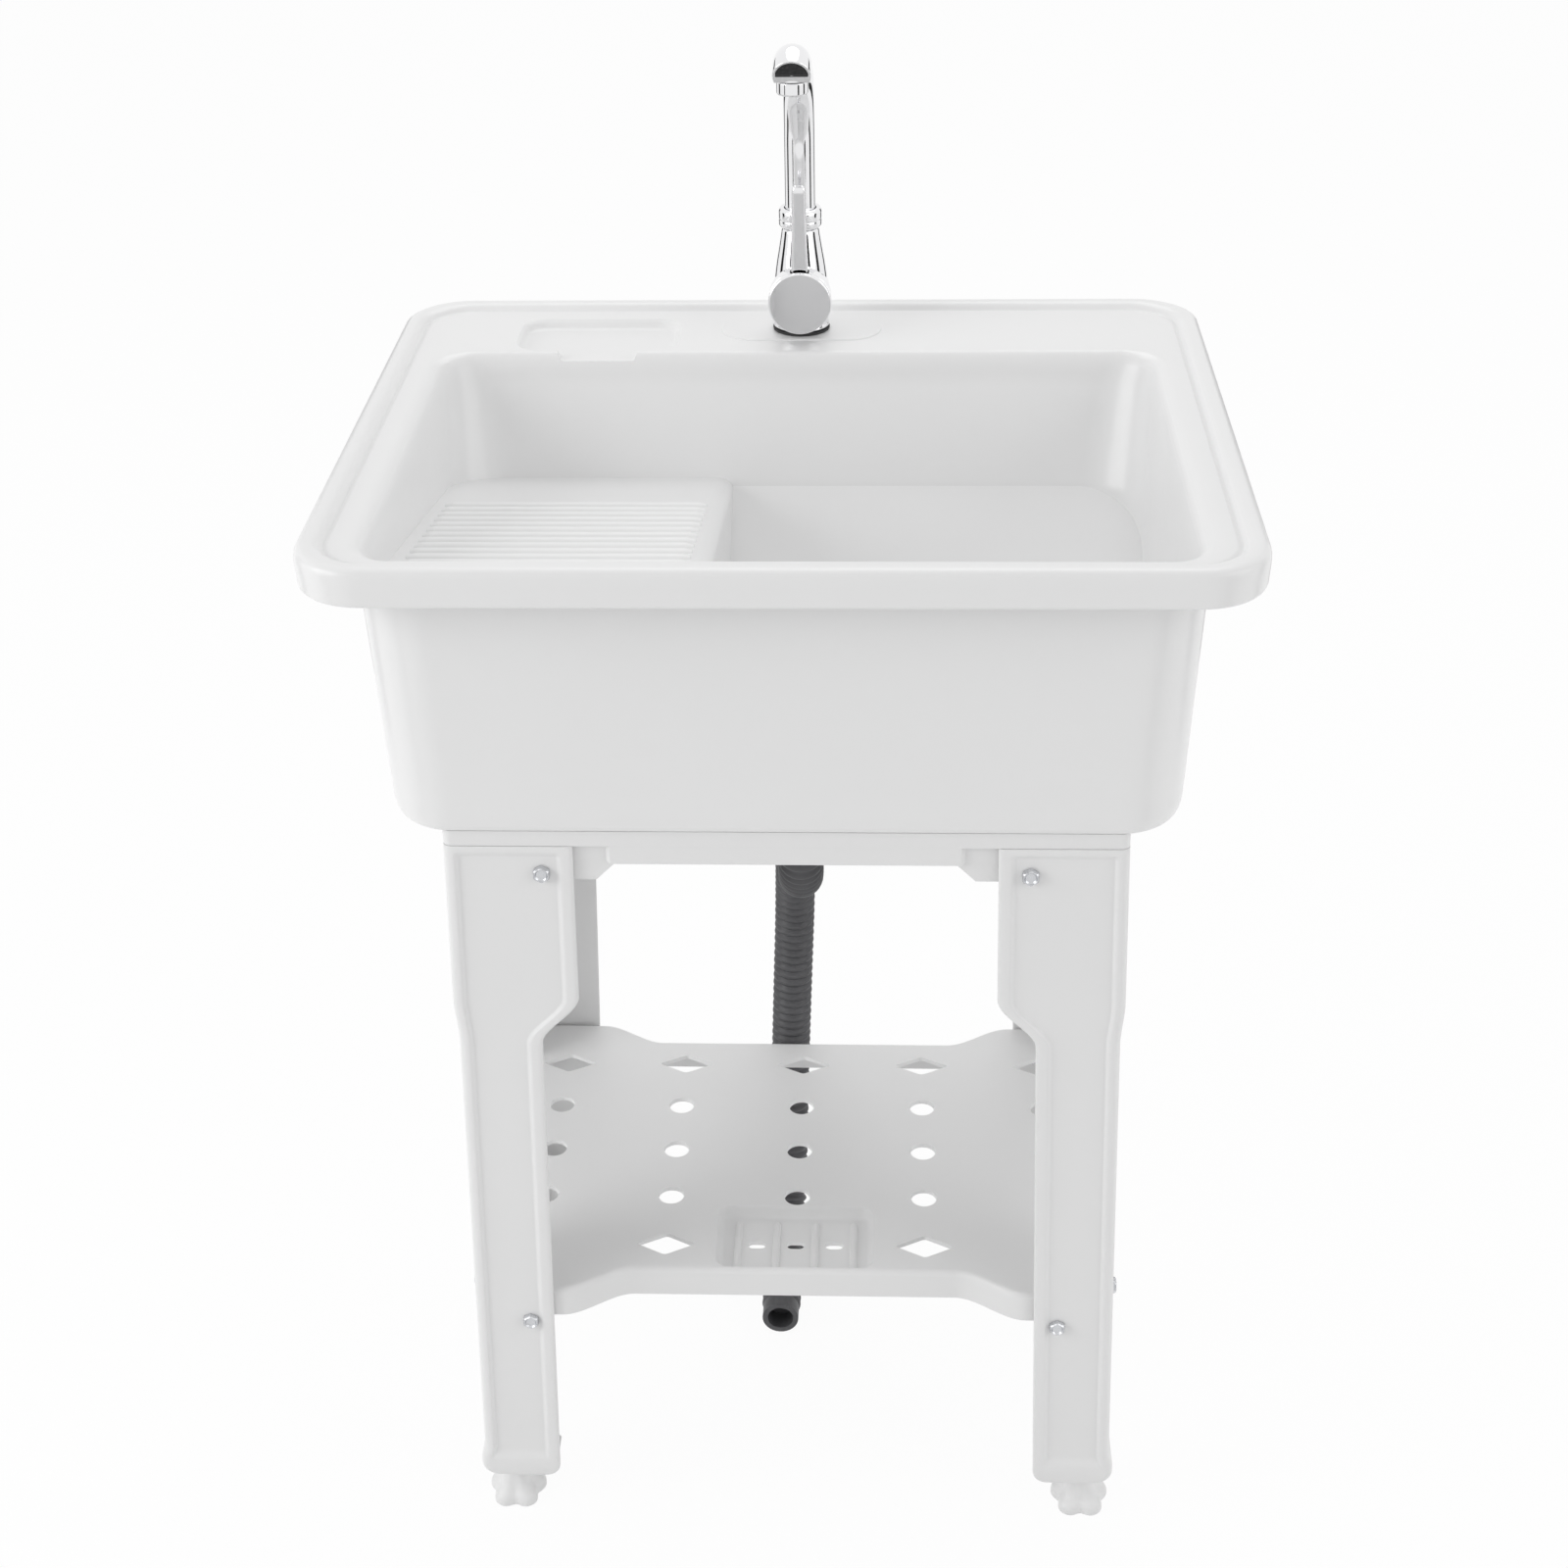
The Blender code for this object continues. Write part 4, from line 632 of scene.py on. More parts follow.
def tube_rings(path, radii, count):
    """Rings round a path, turned with it as little as may be."""
    rings = []
    side = Vector((1.0, 0.0, 0.0))
    for i, at in enumerate(path):
        ahead = Vector(path[min(i + 1, len(path) - 1)]) - Vector(path[max(i - 1, 0)])
        ahead.normalize()
        side = (side - ahead * side.dot(ahead)).normalized()
        up = ahead.cross(side)
        ring = []
        for k in range(count):
            a = 2 * math.pi * k / count
            ring.append(Vector(at) + radii[i] * (math.cos(a) * side + math.sin(a) * up))
        rings.append(ring)
    return rings


# Geometry Nodes


def node_tree(name, inputs):
    """A new tree with named inputs. Returns it, its ends and each input's identifier."""
    tree = bpy.data.node_groups.new(name, "GeometryNodeTree")
    tree.interface.new_socket("Geometry", in_out="INPUT", socket_type="NodeSocketGeometry")
    keys = {}
    for label, kind, value in inputs:
        socket = tree.interface.new_socket(label, in_out="INPUT", socket_type=kind)
        if value is not None:
            socket.default_value = value
        keys[label] = socket.identifier
    tree.interface.new_socket("Geometry", in_out="OUTPUT", socket_type="NodeSocketGeometry")
    start = tree.nodes.new("NodeGroupInput")
    end = tree.nodes.new("NodeGroupOutput")
    return tree, start.outputs, end, keys


def end_tree(tree, given, end, geometry):
    """Ends a tree: makes its copies real and gives them the finish."""
    real = add_node(tree, "GeometryNodeRealizeInstances", {"Geometry": geometry})
    inputs = {"Geometry": real.outputs["Geometry"], "Material": given["Finish"]}
    paint = add_node(tree, "GeometryNodeSetMaterial", inputs)
    tree.links.new(paint.outputs["Geometry"], end.inputs["Geometry"])


def use_tree(obj, tree, keys, values):
    """Sets a tree on an object, with its inputs."""
    step = obj.modifiers.new(tree.name, "NODES")
    step.node_group = tree
    for label, value in values.items():
        step[keys[label]] = value


def copies_tree(name):
    """Sets a model on every point, turned by the point's own turn."""
    inputs = (("Model", "NodeSocketObject", None), ("Finish", "NodeSocketMaterial", None))
    tree, given, end, keys = node_tree(name, inputs)
    model = add_node(tree, "GeometryNodeObjectInfo", {"Object": given["Model"]})
    kind = "GeometryNodeInputNamedAttribute"
    turn = add_node(tree, kind, {"Name": "turn"}, data_type="FLOAT_VECTOR")
    spin = add_node(tree, "FunctionNodeEulerToRotation", {"Euler": turn.outputs["Attribute"]})
    inputs = {
        "Points": given["Geometry"],
        "Instance": model.outputs["Geometry"],
        "Rotation": spin.outputs["Rotation"],
    }
    copies = add_node(tree, "GeometryNodeInstanceOnPoints", inputs)
    end_tree(tree, given, end, copies.outputs["Instances"])
    return tree, keys


def row_tree(name):
    """Repeats a model along a straight row."""
    inputs = (
        ("Model", "NodeSocketObject", None),
        ("Count", "NodeSocketInt", 10),
        ("First", "NodeSocketVector", (0.0, 0.0, 0.0)),
        ("Step", "NodeSocketVector", (0.0, 0.01, 0.0)),
        ("Finish", "NodeSocketMaterial", None),
    )
    tree, given, end, keys = node_tree(name, inputs)
    model = add_node(tree, "GeometryNodeObjectInfo", {"Object": given["Model"]})
    inputs = {"Count": given["Count"], "Start Location": given["First"], "Offset": given["Step"]}
    row = add_node(tree, "GeometryNodeMeshLine", inputs)
    inputs = {"Points": row.outputs["Mesh"], "Instance": model.outputs["Geometry"]}
    copies = add_node(tree, "GeometryNodeInstanceOnPoints", inputs)
    end_tree(tree, given, end, copies.outputs["Instances"])
    return tree, keys


def point_cloud(name, points, turns):
    """Loose points, each with a turn."""
    mesh = bpy.data.meshes.new(name)
    mesh.from_pydata(points, [], [])
    held = mesh.attributes.new("turn", "FLOAT_VECTOR", "POINT")
    held.data.foreach_set("vector", [c for turn in turns for c in turn])
    return linked(name, mesh)


# Basin


def from_rim(rows):
    """Turns insets from the rim's sides, front and back into a half width, front and back."""
    out = []
    for side, front, back, *rest in rows:
        out.append((HALF_WIDTH - side, -HALF_DEPTH + front, HALF_DEPTH - back, *rest))
    return out


def basin_shell():
    """The moulding, up its outside, over the rim and down into the bowl."""
    # Insets from the rim's sides, front and back, corner radius and height
    outside = [
        (0.0485, 0.0460, 0.1085, 0.033, BASIN_BOTTOM),
        (0.0418, 0.0430, 0.1070, 0.038, BASIN_BOTTOM + 0.0020),
        (0.0381, 0.0414, 0.1062, 0.042, BASIN_BOTTOM + 0.0080),
        (0.0372, 0.0409, 0.1060, 0.044, BASIN_BOTTOM + 0.0200),
        (0.0326, 0.0265, 0.1000, 0.046, RIM_TOP - 0.035),
        (0.0295, 0.0228, 0.0960, 0.048, RIM_TOP - 0.021),
        (0.0220, 0.0175, 0.0900, 0.048, DECK - WALL),
    ]
    rim = [
        (0.0050, 0.0050, 0.0050, 0.0415, DECK - WALL),
        (0.0042, 0.0042, 0.0042, 0.0420, SKIRT_LOW + 0.0008),
        (0.0026, 0.0026, 0.0026, 0.0430, SKIRT_LOW),
        (0.0008, 0.0008, 0.0008, 0.0445, SKIRT_LOW + 0.0014),
        (0.0, 0.0, 0.0, 0.0450, RIM_TOP - 0.0100),
        (0.0001, 0.0001, 0.0001, 0.0450, RIM_TOP - 0.0052),
        (0.0009, 0.0009, 0.0009, 0.0447, RIM_TOP - 0.0024),
        (0.0026, 0.0026, 0.0026, 0.0440, RIM_TOP - 0.0007),
        (0.0055, 0.0055, 0.0055, 0.0425, RIM_TOP),
        (0.0110, 0.0114, 0.0110, 0.0395, RIM_TOP - 0.0003),
        (0.0140, 0.0136, 0.0140, 0.0380, RIM_TOP - 0.0020),
        (0.0156, 0.0144, 0.0156, 0.0375, DECK - 0.0008),
        (0.0172, 0.0154, 0.0172, 0.0370, DECK - 0.0013),
        (0.0200, 0.0166, 0.0200, 0.0365, DECK),
    ]
    inside = [
        (0.0310, 0.0232, 0.1070, 0.0280, DECK),
        (0.0366, 0.0256, 0.1098, 0.0280, DECK - 0.0012),
        (0.0404, 0.0276, 0.1116, 0.0285, DECK - 0.0046),
        (0.0426, 0.0292, 0.1130, 0.0310, DECK - 0.0115),
        (0.0438, 0.0310, 0.1142, 0.0350, DECK - 0.0215),
        (0.0465, 0.0395, 0.1430, 0.0450, RIM_TOP - 0.097),
        (0.0490, 0.0470, 0.1460, 0.0450, BOWL_FLOOR + 0.025),
        (0.0520, 0.0500, 0.1490, 0.0430, BOWL_FLOOR + 0.0110),
        (0.0590, 0.0570, 0.1560, 0.0380, BOWL_FLOOR + 0.0025),
        (0.0700, 0.0680, 0.1670, 0.0320, BOWL_FLOOR),
    ]
    rows = []
    for part, reach in ((outside, 0.006), (rim, 0.0016), (inside, 0.0045)):
        rows += eased(from_rim(part), reach)
    return oblongs("basin_shell", two_sided(rows), BASIN_STEPS)


def trimmed(block):
    """Keeps a block inside the basin's wall, so that it follows the round corners."""
    rows = [
        (0.0530, 0.0490, 0.1120, 0.0320, BASIN_BOTTOM + 0.0045),
        (0.0435, 0.0455, 0.1095, 0.0380, BASIN_BOTTOM + 0.0115),
        (0.0405, 0.0440, 0.1088, 0.0410, BASIN_BOTTOM + 0.0220),
        (0.0356, 0.0295, 0.1028, 0.0430, RIM_TOP - 0.035),
        (0.0325, 0.0258, 0.0990, 0.0450, RIM_TOP - 0.022),
    ]
    trim = oblongs("wall_trim", two_sided(from_rim(rows)), BASIN_STEPS)
    return carve(block, kept=(trim,))


def board_height(y):
    """Height of the sloping washboard at a depth."""
    return BOARD_FRONT[1] + BOARD_TILT * (y - BOARD_FRONT[0])


def board_block():
    """The washboard's block, with a rounded right edge."""
    y0, z0 = BOARD_FRONT
    y1, z1 = BOARD_BACK
    wide, deep = 0.0125, 0.0085
    slab = [
        (y0 + 0.0195, BLOCK_FOOT),
        (y0, z0),
        (y1, z1),
        (y1 + BLOCK_LAP, z1 - 0.009),
        (y1 + BLOCK_LAP, BLOCK_FOOT),
    ]
    edge = [(-BLOCK_SIDE, 0.0), (BOARD_RIGHT - wide, 0.0)]
    for i in range(1, 9):
        a = math.radians(90 * i / 8)
        edge.append((BOARD_RIGHT + (-wide + wide * math.sin(a)), deep * (1 - math.cos(a))))
    rings = []
    for x, drop in edge:
        rings.append([(x, y, z - (drop if z > BOWL_FLOOR else 0.0)) for y, z in slab])
    return trimmed(solid("washboard_block", rings))


def ramp_block():
    """The bowl's floor behind the drain, rising to the back wall."""
    y1 = BOARD_BACK[0]
    slope = [
        (RAMP_FRONT - 0.026, BLOCK_FOOT),
        (RAMP_FRONT, RAMP_LOW),
        (y1, RAMP_HIGH),
        (y1 + BLOCK_LAP, RAMP_HIGH + 0.0035),
        (y1 + BLOCK_LAP, BLOCK_FOOT),
    ]
    rings = [[(x, y, z) for y, z in slope] for x in (BOARD_RIGHT - 0.0085, BLOCK_SIDE)]
    return trimmed(solid("ramp_block", rings))


def basin_hollows():
    """The open underside of the moulding: below the washboard, the floor and the ramp."""
    w = HALF_WIDTH
    d = HALF_DEPTH
    below = BASIN_BOTTOM - 0.026
    side = BOARD_RIGHT - 0.0075
    low = oblong(-w + 0.0860, side, -d + 0.0540, d - 0.1125, 0.040, below)
    top = []
    for x, y, _ in oblong(-w + 0.0450, side, -d + 0.0440, d - 0.1500, 0.045, 0.0):
        top.append((x, y, board_height(y) - 0.0065))
    left = solid("hollow_left", [low, top])
    side = BOARD_RIGHT + 0.0060
    rows = []
    for z in (below, BOWL_FLOOR - WALL):
        rows.append((side, w - 0.0860, -d + 0.0570, d - 0.1125, 0.035, z))
    right = oblongs("hollow_right", rows)
    side = BOARD_RIGHT + 0.0115
    front = RAMP_FRONT + 0.0160
    low = oblong(side, w - 0.0920, front, d - 0.1190, 0.030, below + 0.012)
    top = []
    for x, y, _ in oblong(side, w - 0.0620, front, d - 0.1500, 0.035, 0.0):
        top.append((x, y, RAMP_LOW + RAMP_TILT * (y - RAMP_FRONT) - 0.0075))
    ramp = solid("hollow_ramp", [low, top])
    return left, right, ramp


def soap_recess():
    """The soap dish, the notch that drains it into the bowl, and the bed that holds both."""
    w = HALF_WIDTH
    d = HALF_DEPTH
    dish = [
        (0.1010, 0.2010, d - 0.0950, d - 0.0485, 0.013, -0.0064),
        (0.0950, 0.2070, d - 0.1010, d - 0.0425, 0.017, -0.0060),
        (0.0928, 0.2092, d - 0.1032, d - 0.0403, 0.018, -0.0034),
        (0.0918, 0.2102, d - 0.1042, d - 0.0393, 0.019, -0.0014),
        (0.0892, 0.2128, d - 0.1068, d - 0.0367, 0.020, 0.0004),
        (0.0876, 0.2144, d - 0.1084, d - 0.0351, 0.020, 0.0100),
    ]
    rows = []
    for x0, x1, y0, y1, radius, z in eased(dish, 0.002):
        rows.append((-w + x0, -w + x1, y0, y1, radius, DECK + z))
    notch = [
        (0.1270, -0.0062),
        (0.1250, -0.0056),
        (0.1190, 0.0100),
        (0.1860, 0.0100),
        (0.1800, -0.0056),
        (0.1780, -0.0062),
    ]
    rings = [[(-w + x, y, DECK + z) for x, z in notch] for y in (d - 0.150, d - 0.098)]
    bed = []
    for front, z in ((0.1105, -0.0110), (0.1075, -0.0024)):
        bed.append((-w + 0.0850, -w + 0.2170, d - front, d - 0.0320, 0.010, DECK + z))
    return oblongs("soap_dish", rows), solid("soap_notch", rings), oblongs("soap_bed", bed)


def tap_pad():
    """The flat raised pad that the tap stands on."""
    wide, deep = 0.120, 0.052
    rows = []
    for inset, z in ((0.0, -0.0030), (0.0, 0.0003), (0.0004, 0.0008), (0.0012, 0.0012)):
        x0 = TAP[0] - 0.060 + inset
        y0 = TAP[1] - 0.026 + inset
        x1 = x0 + wide - 2 * inset
        y1 = y0 + deep - 2 * inset
        rows.append((x0, x1, y0, y1, 0.0255 - inset, DECK + z))
    return oblongs("tap_pad", rows, 20)


def rib_model(radius):
    """One rib of the washboard, with rounded ends."""
    x0 = -HALF_WIDTH + 0.0535
    x1 = BOARD_RIGHT - 0.0125
    rows = [
        (x0, 0.02),
        (x0 + 0.0006, 0.75),
        (x0 + 0.0060, 1.0),
        (x1 - 0.0060, 1.0),
        (x1 - 0.0006, 0.75),
        (x1, 0.02),
    ]
    rings = []
    for x, size in eased(rows, 0.004, 4):
        rings.append([(x, a, b) for a, b, _ in circle(radius * size, 0.0, 20)])
    return solid("rib_model", rings)


class LAUNDRY_SINK_OT_basin(bpy.types.Operator):
    """Moulds the basin with its rim, soap recess, bowl and washboard"""

    bl_idname = "laundry_sink.basin"
    bl_label = "Basin"

    def execute(self, context):
        sizes = context.scene.laundry_sink_sizes
        shell = basin_shell()
        dish, notch, bed = soap_recess()
        hole = turned("tap_hole", [(0.0125, -0.02), (0.0125, 0.02)], (*TAP, DECK), count=32)
        line = [(0.0225, -0.02), (0.0225, -SEAT_DEPTH), (0.0410, -SEAT_DEPTH), (0.0425, 0.02)]
        seat = turned("drain_seat", line, (*DRAIN, BOWL_FLOOR), reach=0.0004)
        added = (board_block(), ramp_block(), bed, tap_pad())
        carve(shell, added, (*basin_hollows(), dish, notch, hole, seat))
        finished(shell, "basin", "stand", "basin", angle=32.0)
        self.ribs(sizes)
        return {"FINISHED"}

    def ribs(self, sizes):
        """A row of ribs down the slope of the washboard."""
        rib = rib_model(sizes.rib_radius)
        y = BOARD_BACK[0] - RIB_START
        z = board_height(y) - RIB_SINK
        pitch = (BOARD_BACK[0] - BOARD_FRONT[0] - RIB_FREE) / (sizes.rib_count - 1)
        ribs = point_cloud("washboard_ribs", [(0.0, y, z)], [(0.0, 0.0, 0.0)])
        tree, keys = row_tree("rib_row")
        values = {
            "Model": rib,
            "Count": sizes.rib_count,
            "First": (0.0, y, z),
            "Step": (0.0, -pitch, -pitch * BOARD_TILT),
            "Finish": FINISHES["basin"],
        }
        use_tree(ribs, tree, keys, values)
        plain(ribs)
        bpy.data.objects.remove(rib, do_unlink=True)
        finished(ribs, "basin", "stand", weighted=False)


# Stand


def step_share(z):
    """How far a leg's inner edge has gone through its S-curve at a height."""
    return smooth_share(STEP_HIGH - z, 0.0, STEP_HIGH - STEP_LOW)


def leg_outer(z):
    """Outer side of a leg at a height: flared, drawn in below the S-curve, full at the boot."""
    waist = 0.003
    x = LEG_OUTER + LEG_FLARE * (LEG_TOP - z)
    x -= waist * smooth_share(STEP_HIGH - 0.003 - z, 0.0, 0.036)
    x += waist * smooth_share(LEG_BOTTOM + 0.0305 - z, 0.0, 0.014)
    return x


def leg_inner(z):
    """Inner edge of a leg at a height: wide above the S-curve, narrow below it."""
    high = LEG_INNER + 0.020 * min(LEG_TOP - z, LEG_TOP - STEP_HIGH)
    low = LEG_INNER + 0.0297 + LEG_FLARE * (STEP_LOW - z)
    return high + step_share(z) * (low - high)


def leg_levels():
    """Heights of a leg's sections, close together where its form changes."""
    drops = (0.0006, 0.004, 0.0055, 0.007, 0.0085, 0.040, 0.080)
    rises = (0.034, 0.030, 0.0275, 0.025, 0.022, 0.0195, 0.017)
    levels = [LEG_TOP] + [LEG_TOP - drop for drop in drops]
    span = STEP_HIGH - STEP_LOW + 0.008
    levels += [STEP_HIGH + 0.004 - i * span / 16 for i in range(17)]
    levels += [0.40, 0.30, 0.20, 0.12]
    levels += [LEG_BOTTOM + rise for rise in rises]
    for a in range(0, 91, 10):
        levels.append(LEG_BOTTOM + TOE_RADIUS * (1 - math.sin(math.radians(a))))
    return levels


def leg_section(z, depth):
    """The L section of the front right leg at a height, its panel set back inside a border."""
    turn = max(0.0, LEG_BOTTOM + TOE_RADIUS - z)
    pull = TOE_RADIUS - math.sqrt(max(0.0, TOE_RADIUS**2 - turn**2))
    pull = min(pull, 0.0105)
    xo = leg_outer(z) - pull
    xi = leg_inner(z) + pull
    edge = 0.0006 * smooth_share(z, LEG_TOP - 0.0008, LEG_TOP)
    f = LEG_FRONT + 0.0010 - depth + 0.25 * pull + edge
    back = LEG_FRONT + 0.082 - 0.026 * step_share(z) - 0.3 * pull
    top = smooth_share(LEG_TOP - z, 0.0040, 0.0085)
    low = smooth_share(z - LEG_BOTTOM, 0.0170, 0.0270)
    d = depth * top * low
    points = [
        (xi, f + 0.0026),
        (xi + 0.0003, f + 0.0012),
        (xi + 0.0012, f + 0.0003),
        (xi + 0.0028, f),
        (xi + 0.0072, f),
        (xi + 0.0084, f + 0.12 * d),
        (xi + 0.0096, f + 0.5 * d),
        (xi + 0.0108, f + 0.88 * d),
        (xi + 0.0120, f + d),
        (xo - 0.0105, f + d),
        (xo - 0.0097, f + 0.88 * d),
        (xo - 0.0088, f + 0.5 * d),
        (xo - 0.0079, f + 0.12 * d),
        (xo - 0.0070, f),
    ]
    points += corner_arc(xo, f, LEG_CORNER)
    points += [
        (xo, back - 0.0014),
        (xo - 0.0005, back - 0.0003),
        (xo - 0.0014, back),
        (xo - LEG_WALL + 0.0010, back),
        (xo - LEG_WALL, back - 0.0010),
        (xo - LEG_WALL, f + LEG_WALL + 0.0040),
        (xo - LEG_WALL - 0.0012, f + LEG_WALL + 0.0012),
        (xo - LEG_WALL - 0.0040, f + LEG_WALL),
        (xi + 0.0008, f + LEG_WALL),
        (xi, f + LEG_WALL - 0.0008),
    ]
    return points


def leg_piece(tag, sx, sy, depth):
    """One leg: its L section, the sole that closes it and the boss for the foot's screw."""
    rings = []
    for z in leg_levels():
        rings.append([placed((x, y, z), sx, sy) for x, y in leg_section(z, depth)])
    shell = solid("leg_shell", rings)
    z0 = LEG_BOTTOM
    xo = leg_outer(z0 + 0.0085) - 0.0030
    xi = leg_inner(z0 + 0.0085) + 0.0030
    front = LEG_FRONT + 0.0015
    back = LEG_FRONT + 0.0520
    plate = [(xi, front), (xo, front), (xo, back), (xi + 0.016, back), (xi, LEG_FRONT + 0.034)]
    cx = 0.5 * (xi + xo)
    cy = LEG_FRONT + 0.022
    rings = []
    for rise, size in ((0.0004, 0.80), (0.0016, 0.89), (0.0040, 0.96), (0.0080, 1.0)):
        ring = []
        for x, y in plate:
            at = (cx + (x - cx) * size, cy + (y - cy) * (0.5 + 0.5 * size), z0 + rise)
            ring.append(placed(at, sx, sy))
        rings.append(ring)
    sole = solid("leg_sole", rings)
    foot_x = LEG_OUTER + LEG_FLARE * (LEG_TOP - LEG_BOTTOM) - 0.022275
    foot = placed((foot_x, LEG_FRONT + 0.026, 0.0), sx, sy)
    line = [(0.0105, z0 + 0.002), (0.0095, z0 + 0.0365), (0.0045, z0 + 0.0365)]
    boss = turned("leg_boss", line, foot, count=32)
    leg = merged("leg_" + tag + "_moulding", shell, sole, boss)
    finished(leg, "stand", "stand", "leg_" + tag)


class LAUNDRY_SINK_OT_legs(bpy.types.Operator):
    """Moulds the four legs"""

    bl_idname = "laundry_sink.legs"
    bl_label = "Legs"

    def execute(self, context):
        depth = context.scene.laundry_sink_sizes.panel_depth
        for tag, sx, sy in CORNERS:
            leg_piece(tag, sx, sy, depth)
        return {"FINISHED"}


class LAUNDRY_SINK_OT_feet(bpy.types.Operator):
    """Moulds the lobed feet"""

    bl_idname = "laundry_sink.feet"
    bl_label = "Feet"

    def execute(self, context):
        # Radius on the lobes, depth between them and height
        rows = [
            (0.0190, 0.0040, 0.0),
            (0.0214, 0.0046, 0.0004),
            (0.0225, 0.0050, 0.0022),
            (0.0225, 0.0050, 0.0062),
            (0.0217, 0.0048, 0.0088),
            (0.0196, 0.0042, 0.0106),
            (0.0168, 0.0030, 0.0128),
            (0.0140, 0.0016, 0.0170),
            (0.0120, 0.0008, 0.0240),
            (0.0106, 0.0003, 0.0330),
            (0.0100, 0.0, LEG_BOTTOM - 0.0014),
            (0.0092, 0.0, LEG_BOTTOM - 0.0004),
        ]
        sides = 100
        for tag, _, _ in CORNERS:
            low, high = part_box("foot_screw_" + tag)
            cx = 0.5 * (low.x + high.x)
            cy = 0.5 * (low.y + high.y)
            rings = []
            for radius, depth, z in eased(rows, 0.0015, 2):
                ring = []
                for i in range(sides):
                    a = 2 * math.pi * i / sides
                    wave = 0.5 + 0.5 * math.cos(FOOT_LOBES * a + math.pi / 2)
                    r = radius - depth * wave**1.6
                    ring.append((cx + r * math.cos(a), cy + r * math.sin(a), z))
                rings.append(ring)
            pad = solid("foot_" + tag + "_moulding", rings)
            finished(pad, "stand", "foot_" + tag, "foot_pad_" + tag)
        return {"FINISHED"}


def bolt_tabs(name, outline, bolt_x, near, far):
    """The flat tabs that the bolts of the four legs go through, from one depth to another."""
    tabs = []
    for tag, sx, sy in CORNERS:
        rings = []
        for y in (near, far):
            rings.append([placed((bolt_x + x, y, z), sx, sy) for x, z in outline])
        tabs.append(solid(name + "_" + tag, rings))
    return tabs


class LAUNDRY_SINK_OT_top_frame(bpy.types.Operator):
    """Moulds the frame under the basin with its apron and corner tabs"""

    bl_idname = "laundry_sink.top_frame"
    bl_label = "Top frame"

    def execute(self, context):
        outer = LEG_OUTER
        front = INNER_FRONT
        rear = INNER_REAR
        seat = LEG_TOP + FIT_GAP
        top = BASIN_BOTTOM - FIT_GAP
        lip = (outer - 0.0206, LEG_FRONT + 0.020, LEG_REAR - 0.020, 0.006)
        rows = [
            (outer - 0.0061, front, rear, 0.004, FRAME_LOW),
            (outer - 0.0045, front, rear, 0.004, seat),
            (outer, LEG_FRONT, LEG_REAR, 0.006, seat),
            (outer, LEG_FRONT, LEG_REAR, 0.006, top),
            (*lip, top),
            (*lip, top - 0.0042),
            (outer - 0.0086, front + LEG_WALL, rear - LEG_WALL, 0.003, top - 0.0042),
            (outer - 0.0101, front + LEG_WALL, rear - LEG_WALL, 0.003, FRAME_LOW),
        ]
        ring = oblongs("frame_ring", two_sided(rows), 5, closed=True)
        bolt_z = LEG_TOP - 0.021
        outline = [
            (-0.0500, FRAME_LOW + 0.004),
            (-0.0500, FRAME_LOW),
            (-0.0360, LEG_TOP - 0.028),
            (-0.0180, LEG_TOP - 0.028),
            (-0.0150, bolt_z - 0.016),
            (0.0160, bolt_z - 0.016),
            (0.0220, bolt_z - 0.010),
            (0.0220, FRAME_LOW + 0.004),
        ]
        near = front + 0.0002
        far = front + LEG_WALL - 0.0002
        added = bolt_tabs("frame_tab", outline, outer - 0.0646, near, far)
        apron = ((-0.116, 0.0004), (0.116, 0.0004), (0.120, 0.0060), (-0.120, 0.0060))
        for sy in (1, -1):
            rings = []
            for z in (FRAME_LOW + 0.0005, LEG_TOP + 0.0040):
                rings.append([placed((x, LEG_FRONT + y, z), 1, sy) for x, y in apron])
            added.append(solid("frame_apron", rings))
        carve(ring, added)
        soften(ring, context.scene.laundry_sink_sizes.edge_round, 3)
        ring.name = "top_frame_moulding"
        finished(ring, "stand", "stand", "top_frame")
        return {"FINISHED"}


def shelf_line(inset):
    """The waisted outline of the shelf."""
    front = INNER_FRONT + inset
    half = SHELF_HIGH.x - inset
    turn = LEG_OUTER - 0.1066
    quarter = []
    for i in range(17):
        share = i / 16
        ease = smooth_share(share, 0.0, 1.0)
        quarter.append((turn + 0.0520 * share, front + SHELF_WAIST * (1 - ease)))
    quarter += corner_arc(half, front, LEG_CORNER)
    points = list(quarter)
    points += [(x, 2 * MID_Y - y) for x, y in reversed(quarter)]
    points += [(-x, 2 * MID_Y - y) for x, y in quarter]
    points += [(-x, y) for x, y in reversed(quarter)]
    return points


def diamond():
    """A diamond with blunted tips."""
    tips = ((0.0225, 0.0), (0.0, 0.0125), (-0.0225, 0.0), (0.0, -0.0125))
    blunt = 0.10
    outline = []
    for k, tip in enumerate(tips):
        before = mix(tip, tips[k - 1], blunt)
        after = mix(tip, tips[(k + 1) % 4], blunt)
        outline += bend(before, tip, after, (0.0, 0.33, 0.67, 1.0))
    return outline


